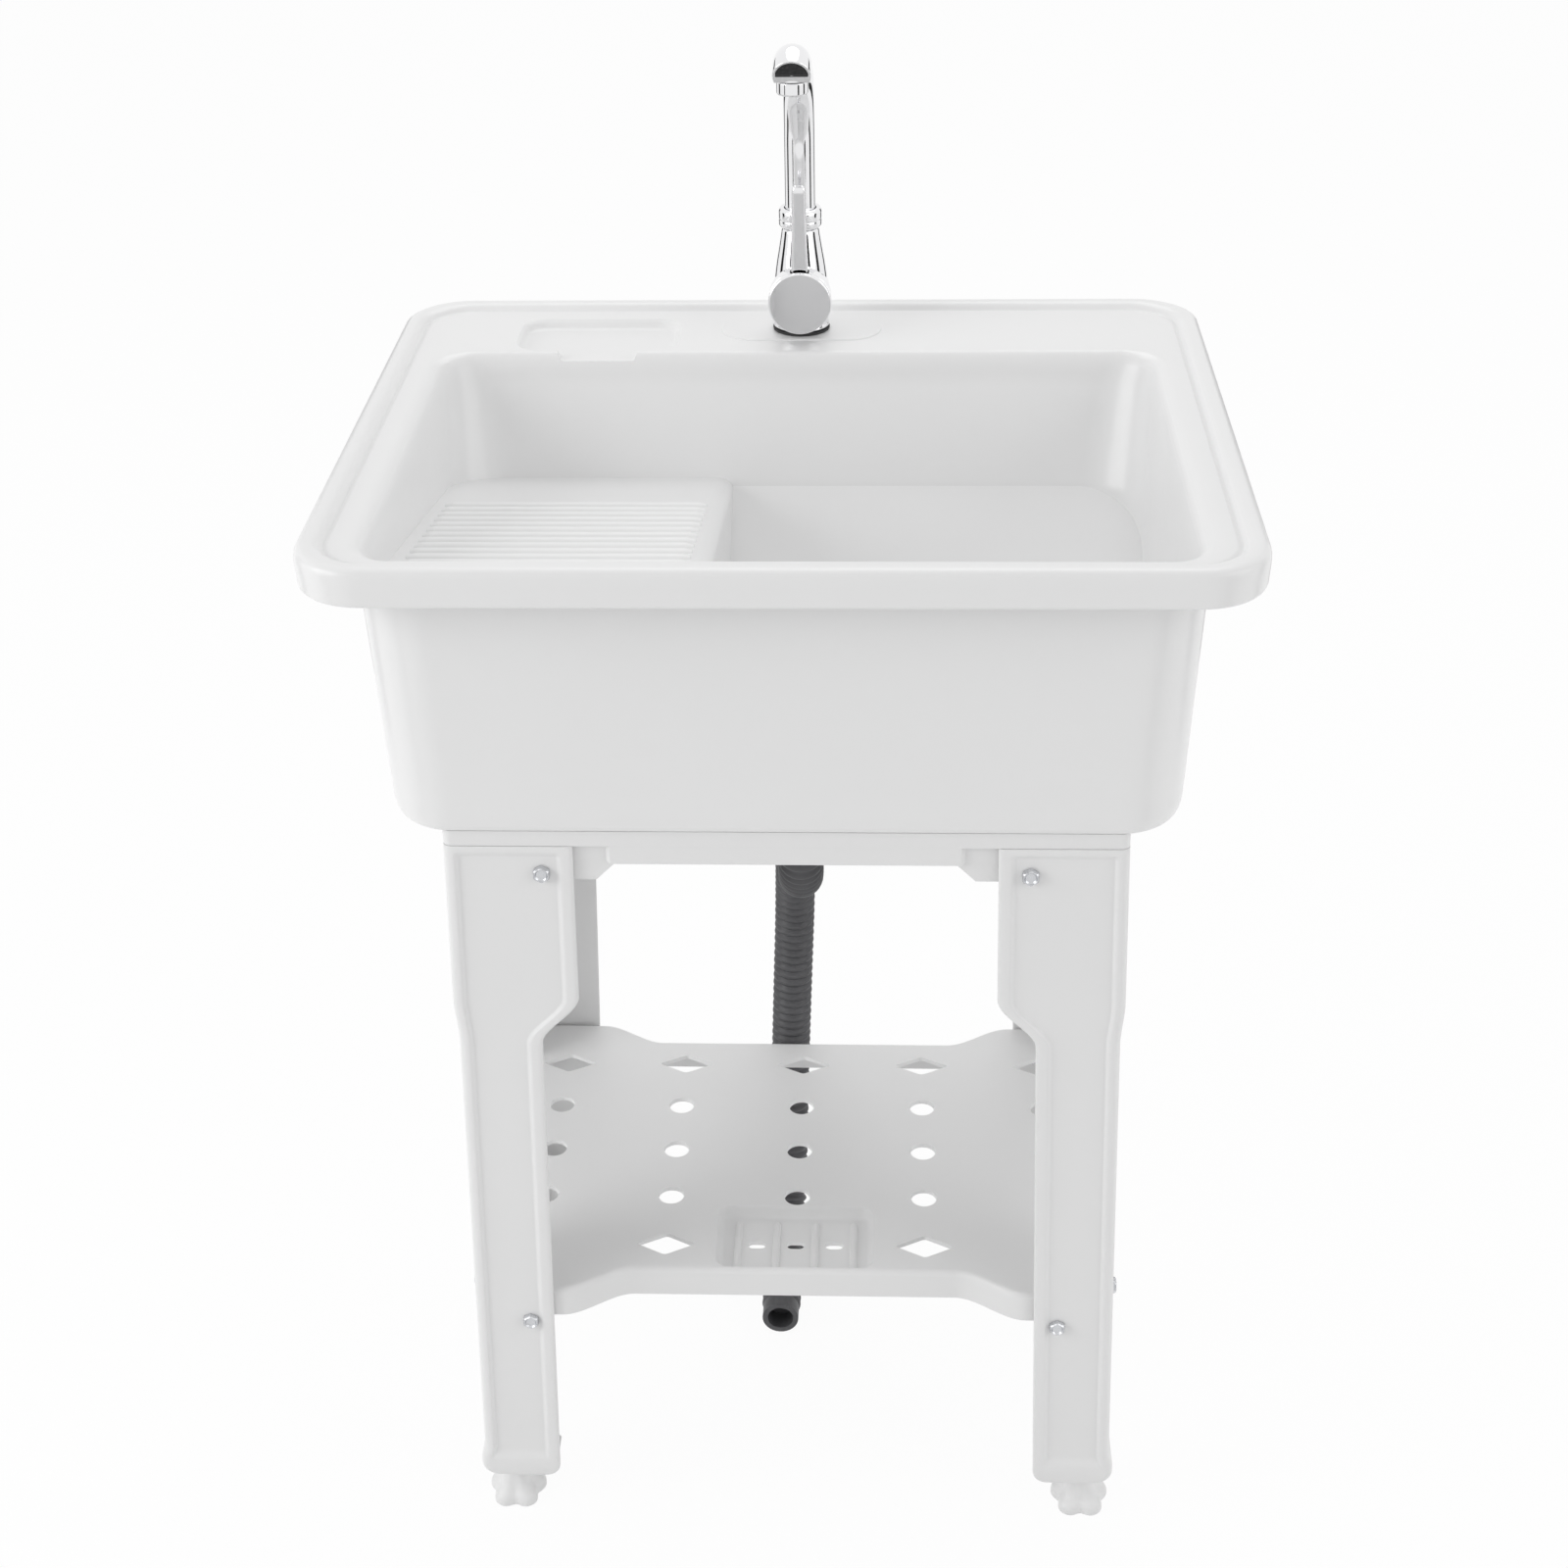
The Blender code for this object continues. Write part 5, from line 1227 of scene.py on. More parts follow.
def shelf_holes():
    """Round and diamond holes through the plate and slots through the tray, as one cutter."""
    first = LEG_FRONT + 0.057
    row_pitch = (LEG_REAR - 0.061 - first) / 4
    column_pitch = 0.5 * (LEG_OUTER - 0.0306)
    round_hole = [(a, b) for a, b, _ in circle(0.0100, 0.0, 32)]
    stacks = []
    for column in (-2, -1, 0, 1, 2):
        for row in range(5):
            if row == 0 and column not in (-1, 1):
                continue
            x = column_pitch * column
            y = first + row_pitch * row
            outline = diamond() if row in (0, 4) else round_hole
            heights = (SHELF_TOP - 0.010, SHELF_TOP + 0.010)
            stacks.append([[(x + a, y + b, z) for a, b in outline] for z in heights])
    front = TRAY_FRONT + 0.031
    back = TRAY_FRONT + 0.039
    for x in (-0.0294, 0.0, 0.0294):
        rings = []
        for z in (SHELF_TOP - 0.030, SHELF_TOP + 0.010):
            rings.append(oblong(x - 0.0068, x + 0.0068, front, back, 0.0039, z))
        stacks.append(rings)
    return solids("shelf_holes", stacks)


def tray_bars():
    """The four bars on the floor of the soap tray."""
    ends = ((0.0055, 0.1), (0.0066, 0.7), (0.009, 1.0), (0.057, 1.0), (0.0594, 0.7), (0.0605, 0.1))
    z = SHELF_TOP - 0.0098
    stacks = []
    for x in (-0.0440, -0.0147, 0.0147, 0.0440):
        rings = []
        for y, size in ends:
            ring = circle(0.0030 * size, 0.0, 16)
            rings.append([(x + a, TRAY_FRONT + y, z + b) for a, b, _ in ring])
        stacks.append(rings)
    return solids("tray_bars", stacks)


class LAUNDRY_SINK_OT_shelf(bpy.types.Operator):
    """Moulds the pierced shelf with its flange and soap tray"""

    bl_idname = "laundry_sink.shelf"
    bl_label = "Shelf"

    def execute(self, context):
        top = SHELF_TOP
        low = top - 0.0245
        wall = 0.0035
        radius = 0.0050
        edge = [(0.0, low)]
        for i in range(7):
            a = math.radians(15 * i)
            edge.append((radius * (1 - math.cos(a)), top - radius * (1 - math.sin(a))))
        rings = [[(x, y, z) for x, y in shelf_line(inset)] for inset, z in edge]
        plate = solid("shelf_plate", rings)
        inside = shelf_line(wall)
        rings = [[(x, y, z) for x, y in inside] for z in (low - 0.02, top - wall)]
        carve(plate, cut=(solid("shelf_below", rings),))

        foot = top - 0.0265 - 0.0130
        outline = [
            (-0.0160, foot + 0.003),
            (-0.0130, foot),
            (0.0150, foot),
            (0.0180, foot + 0.003),
            (0.0180, top - 0.0020),
            (-0.0160, top - 0.0020),
        ]
        near = INNER_FRONT + 0.0002
        far = INNER_FRONT + 0.0036
        tabs = bolt_tabs("shelf_tab", outline, LEG_OUTER - 0.0316, near, far)
        tray = TRAY_FRONT
        rows = []
        for inset, z in ((0.002, top - 0.0130), (0.0, top - 0.0020)):
            rows.append((0.062 - inset, tray - 0.002, tray + 0.072 - inset, 0.010, z))
        carve(plate, (*tabs, oblongs("tray_block", two_sided(rows))))

        rows = [
            (0.0505, tray + 0.0070, tray + 0.0600, 0.007, -0.0095),
            (0.0555, tray + 0.0025, tray + 0.0650, 0.009, -0.0092),
            (0.0575, tray + 0.0012, tray + 0.0670, 0.010, -0.0060),
            (0.0588, tray + 0.0002, tray + 0.0683, 0.010, -0.0010),
            (0.0605, tray - 0.0012, tray + 0.0700, 0.011, 0.0006),
            (0.0620, tray - 0.0020, tray + 0.0715, 0.011, 0.0100),
        ]
        rows = [(*row, top + z) for *row, z in eased(rows, 0.002)]
        carve(plate, cut=(oblongs("tray_dish", two_sided(rows)), shelf_holes()))
        soften(plate, 0.0005)
        finished(merged("shelf_moulding", plate, tray_bars()), "stand", "stand", "shelf")
        return {"FINISHED"}


def bolt_model(radius):
    """A bolt along Z, its head's under side at height 0."""
    # Radius, height and how far the ring is a hexagon
    rows = [
        (0.0010, 0.0030, 0.0),
        (0.0034, 0.0030, 0.0),
        (0.0040, 0.0036, 0.0),
        (0.0044, BOLT_HEAD, 0.1),
        (0.0052, BOLT_HEAD, 0.5),
        (0.0060, 0.0036, 1.0),
        (radius, 0.0028, 1.0),
        (radius, 0.0002, 1.0),
        (0.0030, 0.0, 0.0),
        (0.0030, -0.0164, 0.0),
        (0.0024, -0.0168, 0.0),
    ]
    sides = 48
    rings = []
    for size, height, hexed in rows:
        ring = []
        for i in range(sides):
            a = 2 * math.pi * i / sides
            off = (a + math.pi / 6) % (math.pi / 3) - math.pi / 6
            flat = math.cos(math.pi / 6) / math.cos(off)
            r = size * (1 + hexed * (min(flat, 0.97) - 1))
            ring.append((r * math.cos(a), r * math.sin(a), height))
        rings.append(ring)
    return solid("bolt_model", rings)


class LAUNDRY_SINK_OT_bolts(bpy.types.Operator):
    """Sets the hexagon bolts on the legs"""

    bl_idname = "laundry_sink.bolts"
    bl_label = "Bolts"

    def execute(self, context):
        model = bolt_model(context.scene.laundry_sink_sizes.head_radius)
        points = []
        turns = []
        nodes = []
        for tag, sx, sy in CORNERS:
            for kind in ("upper", "lower", "side"):
                name = "bolt_" + kind + "_" + tag
                low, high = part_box(name)
                middle = 0.5 * (low + high)
                nodes.append(name)
                if kind == "side":
                    under = (high.x if sx > 0 else low.x) - sx * BOLT_HEAD
                    points.append((under, middle.y, middle.z))
                    turns.append((0.0, sx * math.pi / 2, 0.0))
                else:
                    under = (low.y if sy > 0 else high.y) + sy * BOLT_HEAD
                    points.append((middle.x, under, middle.z))
                    turns.append((sy * math.pi / 2, 0.0, 0.0))
        bolts = point_cloud("leg_bolts", points, turns)
        tree, keys = copies_tree("bolt_copies")
        use_tree(bolts, tree, keys, {"Model": model, "Finish": FINISHES["zinc"]})
        plain(bolts)
        bpy.data.objects.remove(model, do_unlink=True)
        finished(bolts, "zinc", "stand", *nodes, weighted=False, angle=30.0)
        return {"FINISHED"}


# Tap


def nose_window(centre, tilt, radius, near, far):
    """A half disc in the tilted end face of the spout, from one depth to another."""
    normal = Vector((0.0, -math.cos(tilt), -math.sin(tilt)))
    upward = Vector((0.0, -math.sin(tilt), math.cos(tilt)))
    rings = []
    for depth in (near, far):
        ring = []
        for i in range(33):
            a = math.pi * i / 32
            across = Vector((radius * math.cos(a), 0.0, 0.0))
            ring.append(centre - depth * normal + across + radius * math.sin(a) * upward)
        rings.append(ring)
    return solid("nose_inlay", rings)


class LAUNDRY_SINK_OT_tap(bpy.types.Operator):
    """Turns the tap's body, hub, lever, collar, spout and aerator"""

    bl_idname = "laundry_sink.tap"
    bl_label = "Tap"

    def execute(self, context):
        self.body()
        self.hub()
        self.lever()
        self.collar()
        self.spout()
        self.aerator()
        return {"FINISHED"}

    def body(self):
        """The casting: a tapering neck and the drum behind the hub."""
        z0 = DECK + 0.0038
        top = NECK_TOP
        line = [
            (0.0100, z0),
            (0.0208, z0),
            (0.0210, z0 + 0.0020),
            (0.0200, z0 + 0.0036),
            (0.0200, top - 0.0440),
            (0.0194, top - 0.0360),
            (0.0180, top - 0.0260),
            (0.0160, top - 0.0150),
            (0.0144, top - 0.0050),
            (0.0138, top - 0.0008),
            (0.0118, top),
        ]
        neck = turned("tap_neck", line, (*TAP, 0.0), reach=0.004, count=TAP_SIDES)
        line = [(0.0205, -0.004), (0.0212, 0.0), (0.0212, 0.0184), (0.0180, 0.0186)]
        drum = turned("tap_drum", line, (*TAP, HUB_Z), "Y", TAP_SIDES)
        finished(merged("tap_casting", neck, drum), "chrome", "stand", "tap_body")

    def hub(self):
        """The disc in front, with a fine groove round it and a slot for the lever."""
        line = [
            (0.0100, 0.0190),
            (HUB_RADIUS - 0.0006, 0.0190),
            (HUB_RADIUS, 0.0198),
            (HUB_RADIUS, 0.0318),
            (HUB_RADIUS - 0.0012, 0.0322),
            (HUB_RADIUS - 0.0012, 0.0329),
            (HUB_RADIUS - 0.0001, 0.0333),
            (HUB_RADIUS - 0.0001, 0.0372),
            (HUB_RADIUS - 0.0004, 0.0378),
            (HUB_RADIUS - 0.0011, 0.0381),
            (0.0120, 0.0383),
            (0.0010, 0.0384),
        ]
        hub = turned("hub_disc", line, (*TAP, HUB_Z), "Y", TAP_SIDES, reach=0.0003)
        slot = (TAP[0] - 0.0070, TAP[0] + 0.0070, LEVER_Y - 0.0012, LEVER_Y + 0.0100, 0.0030)
        rows = [(*slot, HUB_Z + 0.0150), (*slot, HUB_Z + 0.0400)]
        carve(hub, cut=(oblongs("hub_slot", rows),))
        finished(hub, "chrome", "handle_hub", "handle_hub")

    def lever(self):
        """The thin upright blade, leaning a little forwards."""
        root = HUB_Z + 0.0190
        # Half width, half depth and height
        rows = [
            (0.0056, 0.0026, root - 0.0030),
            (0.0062, 0.0030, root - 0.0020),
            (0.0062, 0.0030, root + 0.0080),
            (0.0056, 0.0028, root + 0.0250),
            (0.0052, 0.0026, root + 0.0480),
            (0.0050, 0.0024, root + 0.0640),
            (0.0042, 0.0018, root + 0.0664),
            (0.0020, 0.0008, root + 0.0672),
        ]
        lean = 0.035
        rings = []
        for wide, deep, z in eased(rows, 0.003, 4):
            ring = []
            for a, b, _ in oblong(-wide, wide, -deep, deep, deep * 0.8, 0.0, 6):
                ring.append((TAP[0] + a, LEVER_Y + 0.0050 + b - lean * (z - root), z))
            rings.append(ring)
        finished(solid("lever_blade", rings), "chrome", "handle_lever", "handle_lever")

    def collar(self):
        """The ring between neck and spout, with a fine groove."""
        top = NECK_TOP
        line = [
            (0.0118, top + 0.0004),
            (0.0146, top + 0.0004),
            (0.0160, top + 0.0020),
            (0.0160, top + 0.0056),
            (0.0156, top + 0.0062),
            (0.0160, top + 0.0068),
            (0.0160, top + 0.0122),
            (0.0148, top + 0.0145),
            (0.0118, top + 0.0145),
        ]
        ring = turned("collar_ring", line, (*TAP, 0.0), closed=True, count=TAP_SIDES)
        finished(ring, "chrome", "stand", "spout_collar")

    def spout(self):
        """The bent tube, its tilted nose and the black half disc in it, partly dark plastic and
        partly painted shade of the nose's hollow end.
        """
        x, y = TAP
        top = NECK_TOP
        nose_y, nose_z = NOSE
        nose = (x, nose_y, nose_z)
        line = [
            (x, y, top + 0.0003),
            (x, y, top + 0.0250),
            (x, y, top + 0.0520),
            (x, y - 0.0010, top + 0.0750),
            (x, y - 0.0090, top + 0.1000),
            (x, y - 0.0290, top + 0.1210),
            (x, y - 0.0600, top + 0.1335),
            (x, nose_y + 0.0300, nose_z - 0.0098),
            (x, nose_y + 0.0130, nose_z - 0.0054),
            (x, nose_y - 0.0005, nose_z - 0.0036),
            (x, nose_y - 0.0120, nose_z - 0.0082),
        ]
        path = smooth_line(line, 0.0030)
        radii = []
        for p in path:
            swell = smooth_share(nose_y + 0.034 - p[1], 0.0, 0.036)
            radii.append(SPOUT_RADIUS + NOSE_SWELL * swell)
        face = Vector(path[-1])
        along = (face - Vector(path[-2])).normalized()
        tilt = math.atan2(-along.z, -along.y)
        for ahead, radius in ((0.0005, 0.0127), (0.0008, 0.0122)):
            path.append(tuple(face + ahead * along))
            radii.append(radius)
        face += 0.0008 * along
        arm = solid("spout_arm", tube_rings(path, radii, 48))

        # The boss of the aerator, below a flat that is cut under the nose
        line = [
            (0.0090, -0.0132),
            (0.0112, -0.0132),
            (0.0117, -0.0126),
            (0.0117, -0.0070),
            (0.0080, -0.0050),
        ]
        boss = turned("spout_boss", line, nose, reach=0.0006)
        mouth = turned("spout_mouth", [(0.0090, -0.0200), (0.0090, -0.0060)], nose, count=48)
        flat = (x - 0.03, x + 0.03, nose_y - 0.03, nose_y + 0.0145, 0.004)
        under = oblongs("nose_under", [(*flat, nose_z + z) for z in (-0.04, -0.0128)])
        carve(arm, cut=(under, nose_window(face, tilt, 0.0113, -0.0040, 0.0030)))
        carve(arm, (boss,), (mouth,))
        soften(arm, 0.0004, angle=40.0)
        finished(arm, "chrome", "spout", "spout")
        # A gloss black half disc in the nose's window: partly dark plastic, partly painted shade
        # of the hollow inside the end
        black_shade_disc = nose_window(face, tilt, 0.0110, 0.0012, 0.0027)
        finished(black_shade_disc, "gloss_black", "spout")

    def aerator(self):
        """The sleeve below the nose."""
        nose_y, nose_z = NOSE
        low = nose_z - 0.0225
        high = nose_z - 0.0136
        line = [
            (0.0100, high),
            (0.0108, high - 0.0006),
            (0.0108, low + 0.0012),
            (0.0101, low),
            (0.0086, low),
            (0.0086, high),
        ]
        at = (TAP[0], nose_y, 0.0)
        ring = turned("aerator_sleeve", line, at, closed=True, count=TAP_SIDES, reach=0.0004)
        finished(ring, "chrome", "spout", "aerator_ring")


# Drain and hose


class LAUNDRY_SINK_OT_drain(bpy.types.Operator):
    """Turns the drain's flange, lift-out basket, tail and hose clamp"""

    bl_idname = "laundry_sink.drain"
    bl_label = "Drain"

    def execute(self, context):
        at = (*DRAIN, 0.0)
        self.flange(at)
        self.basket(at)
        self.tail(at)
        self.clamp(at)
        return {"FINISHED"}

    def flange(self, at):
        """The cup that lines the outlet."""
        z0 = BOWL_FLOOR - SEAT_DEPTH
        line = [
            (0.0396, z0 + 0.0003),
            (0.0404, z0 + 0.0012),
            (0.0380, z0 + 0.0026),
            (0.0300, z0 + 0.0012),
            (0.0205, z0 - 0.0030),
            (0.0195, z0 - 0.0140),
            (0.0195, BOWL_FLOOR - 0.0370),
            (0.0220, BOWL_FLOOR - 0.0370),
            (0.0220, z0 + 0.0003),
        ]
        cup = turned("drain_cup", line, at, closed=True, reach=0.0015)
        finished(cup, "steel", "stand", "drain_flange")

    def basket(self, at):
        """The strainer: a wall, a pierced floor and a knob."""
        z0 = BOWL_FLOOR - SEAT_DEPTH
        line = [
            (0.0300, z0 + 0.0044),
            (0.0296, z0 + 0.0034),
            (0.0200, z0 + 0.0002),
            (0.0186, z0 - 0.0060),
            (0.0180, z0 - 0.0120),
            (0.0166, z0 - 0.0120),
            (0.0172, z0 - 0.0050),
            (0.0200, z0 + 0.0030),
        ]
        wall = turned("basket_wall", line, at, closed=True, reach=0.0006)
        line = [(0.0020, z0 - 0.0119), (0.0176, z0 - 0.0119), (0.0177, z0 - 0.0103)]
        floor = turned("basket_floor", line, at)
        line = [
            (0.0030, z0 - 0.0110),
            (0.0030, z0 + 0.0010),
            (0.0062, z0 + 0.0040),
            (0.0062, z0 + 0.0072),
            (0.0046, z0 + 0.0090),
            (0.0010, z0 + 0.0090),
        ]
        knob = turned("basket_knob", line, at, reach=0.0015)
        stacks = []
        for x, y, _ in circle(0.0105, 0.0, 8):
            hole = [(at[0] + x + dx, at[1] + y + dy) for dx, dy, _ in circle(0.0026, 0.0, 20)]
            stacks.append([[(*spot, z) for spot in hole] for z in (z0 - 0.02, z0 - 0.004)])
        carve(floor, cut=(solids("basket_holes", stacks),))
        strainer = merged("drain_strainer", wall, floor, knob)
        finished(strainer, "steel", "drain_basket", "drain_basket")

    def tail(self, at):
        """The cap below the bowl with the spigot for the hose."""
        line = [
            (0.0260, BOWL_FLOOR - 0.0210),
            (0.0260, BOWL_FLOOR - 0.0390),
            (0.0200, BOWL_FLOOR - 0.0420),
            (0.0106, BOWL_FLOOR - 0.0425),
            (0.0106, BOWL_FLOOR - 0.0730),
            (0.0100, BOWL_FLOOR - 0.0750),
            (0.0085, BOWL_FLOOR - 0.0750),
            (0.0085, BOWL_FLOOR - 0.0400),
            (0.0190, BOWL_FLOOR - 0.0374),
            (0.0224, BOWL_FLOOR - 0.0374),
            (0.0224, BOWL_FLOOR - 0.0210),
        ]
        finished(turned("drain_spigot", line, at, closed=True), "stand", "stand", "drain_tail")

    def clamp(self, at):
        """The band that holds the hose, with its lug and screw."""
        x, y, _ = at
        low = BOWL_FLOOR - 0.0690
        line = [(0.0159, low), (0.0170, low), (0.0170, low + 0.0110), (0.0159, low + 0.0110)]
        band = turned("clamp_band", line, at, closed=True, reach=0.0003)
        side = (x + 0.0150, x + 0.0235, y - 0.0040, y + 0.0040, 0.0012)
        lug = oblongs("clamp_lug", [(*side, low + 0.0012), (*side, low + 0.0098)])
        line = [(0.0010, -0.0060), (0.0030, -0.0060), (0.0030, 0.0060), (0.0010, 0.0060)]
        middle = (x + 0.0202, y, low + 0.0055)
        screw = turned("clamp_screw", line, middle, "Y", 24, reach=0.0006)
        finished(merged("hose_band", band, lug, screw), "zinc", "stand", "hose_clamp")


def hose_tree():
    """Follows a curve with a ribbed skin: its radius rises and falls along the length."""
    inputs = (
        ("Pitch", "NodeSocketFloat", 0.0074),
        ("Crest", "NodeSocketFloat", 0.0165),
        ("Root", "NodeSocketFloat", 0.0140),
        ("Cuff", "NodeSocketFloat", 0.034),
        ("End", "NodeSocketFloat", 0.014),
        ("Finish", "NodeSocketMaterial", None),
    )
    tree, given, end, keys = node_tree("hose_ribs", inputs)
    length = maths(tree, "DIVIDE", given["Pitch"], 8.0)
    step = add_node(
        tree,
        "GeometryNodeResampleCurve",
        {"Curve": given["Geometry"], "Length": length},
        mode="LENGTH",
    )
    along = add_node(tree, "GeometryNodeSplineParameter").outputs["Length"]
    whole = add_node(tree, "GeometryNodeSplineLength").outputs["Length"]

    # A wave with broad crests, plain in the cuff and at the open end
    angle = maths(tree, "MULTIPLY", maths(tree, "DIVIDE", along, given["Pitch"]), 2 * math.pi)
    wave = maths(tree, "MULTIPLY", maths(tree, "SINE", angle), 0.5)
    wave = maths(tree, "POWER", maths(tree, "ADD", wave, 0.5), 0.7)
    late = maths(tree, "GREATER_THAN", along, given["Cuff"])
    early = maths(tree, "GREATER_THAN", maths(tree, "SUBTRACT", whole, along), given["End"])
    ribbed = maths(tree, "MULTIPLY", late, early)
    depth = maths(tree, "SUBTRACT", given["Crest"], given["Root"])
    mean = maths(tree, "ADD", given["Root"], maths(tree, "MULTIPLY", depth, 0.5))
    swing = maths(tree, "MULTIPLY", maths(tree, "SUBTRACT", wave, 0.5), depth)
    radius = maths(tree, "ADD", mean, maths(tree, "MULTIPLY", swing, ribbed))

    inputs = {"Curve": step.outputs["Curve"], "Radius": radius}
    size = add_node(tree, "GeometryNodeSetCurveRadius", inputs)
    inputs = {"Resolution": 32, "Radius": 1.0}
    ring = add_node(tree, "GeometryNodeCurvePrimitiveCircle", inputs)
    inputs = {"Curve": size.outputs["Curve"], "Profile Curve": ring.outputs["Curve"]}
    skin = add_node(tree, "GeometryNodeCurveToMesh", inputs)
    if "Scale" in skin.inputs:
        tree.links.new(radius, skin.inputs["Scale"])
    end_tree(tree, given, end, skin.outputs["Mesh"])
    return tree, keys


def open_ends(mesh, path):
    """Turns the hose's rim in at each end, with a short bore that shows where it is open."""
    rim = 0.0155
    bm = bmesh.new()
    bm.from_mesh(mesh)
    for ring_at, inward in ((path[0], path[5]), (path[-1], path[-6])):
        middle = Vector(ring_at)
        into = (Vector(inward) - middle).normalized()
        near = {v for v in bm.verts if v.is_boundary and (v.co - middle).length < 2 * rim}
        edges = [e for e in bm.edges if e.is_boundary and not near.isdisjoint(e.verts)]
        for scale, depth in ((0.93, 0.0), (0.70, 0.0), (0.68, 0.004), (0.68, 0.018)):
            made = bmesh.ops.extrude_edge_only(bm, edges=edges)["geom"]
            edges = [e for e in made if isinstance(e, bmesh.types.BMEdge)]
            for v in made:
                if isinstance(v, bmesh.types.BMVert):
                    reach = v.co - middle
                    reach -= into * reach.dot(into)
                    v.co = middle + reach.normalized() * rim * scale + into * depth
        bmesh.ops.holes_fill(bm, edges=edges, sides=0)
    bmesh.ops.recalc_face_normals(bm, faces=bm.faces)
    bm.to_mesh(mesh)
    bm.free()


class LAUNDRY_SINK_OT_hose(bpy.types.Operator):
    """Hangs the ribbed drain hose"""

    bl_idname = "laundry_sink.hose"
    bl_label = "Hose"

    def execute(self, context):
        sizes = context.scene.laundry_sink_sizes
        path = smooth_line(HOSE_LINE, 0.004)
        curve = bpy.data.curves.new("hose_line", "CURVE")
        curve.dimensions = "3D"
        line = curve.splines.new("POLY")
        line.points.add(len(path) - 1)
        for point, at in zip(line.points, path):
            point.co = (*at, 1.0)
        guide = linked("hose_guide", curve)
        tree, keys = hose_tree()
        values = {
            "Pitch": sizes.hose_pitch,
            "Crest": sizes.hose_crest,
            "Root": sizes.hose_root,
            "Finish": FINISHES["hose"],
        }
        use_tree(guide, tree, keys, values)
        graph = context.evaluated_depsgraph_get()
        mesh = bpy.data.meshes.new_from_object(guide.evaluated_get(graph), depsgraph=graph)
        bpy.data.objects.remove(guide, do_unlink=True)
        if not mesh.polygons:
            raise RuntimeError("the hose has no skin")
        open_ends(mesh, path)
        skin = linked("ribbed_hose", mesh)
        finished(skin, "hose", "stand", "drain_hose", weighted=False, angle=60.0)
        return {"FINISHED"}


class LAUNDRY_SINK_OT_small_parts(bpy.types.Operator):
    """Gives the nuts, screws, seals and inner tap parts their finish"""

    bl_idname = "laundry_sink.small_parts"
    bl_label = "Small parts"

    def execute(self, context):
        finish_of = {
            "tap_gasket": "rubber",
            "tap_washer": "rubber",
            "drain_gasket": "rubber",
            "aerator_insert": "rubber",
            "tap_cartridge": "brass",
            "tap_shank": "brass",
            "tap_nut": "brass",
            "drain_nut": "stand",
        }
        for name, obj in frame["nodes"].items():
            if not obj.hide_render:
                obj.data.materials.clear()
                obj.data.materials.append(FINISHES[finish_of.get(name, "zinc")])
        return {"FINISHED"}


# Stage


def camera_axes():
    """The photograph's view: heading, downward look and a slight roll."""
    yaw, pitch, roll = CAMERA_YAW, CAMERA_PITCH, CAMERA_ROLL
    level = math.cos(pitch)
    ahead = Vector((-math.sin(yaw) * level, math.cos(yaw) * level, -math.sin(pitch)))
    right = Vector((math.cos(yaw), math.sin(yaw), 0.0))
    down = ahead.cross(right)
    across = math.cos(roll) * right + math.sin(roll) * down
    drop = -math.sin(roll) * right + math.cos(roll) * down
    return across, -drop, -ahead


def seen_factor(tree):
    """1 for what the camera, a mirror or glass sees, 0 for soft light."""
    rays = add_node(tree, "ShaderNodeLightPath").outputs
    seen = maths(tree, "MAXIMUM", rays["Is Camera Ray"], rays["Is Glossy Ray"])
    return maths(tree, "MAXIMUM", seen, rays["Is Transmission Ray"])


def blended(tree, factor, first, second, end):
    """Ends a tree with a blend of two shaders."""
    inputs = {"Fac": factor, 1: first.outputs[0], 2: second.outputs[0]}
    blend = add_node(tree, "ShaderNodeMixShader", inputs)
    add_node(tree, end, {"Surface": blend.outputs[0]})


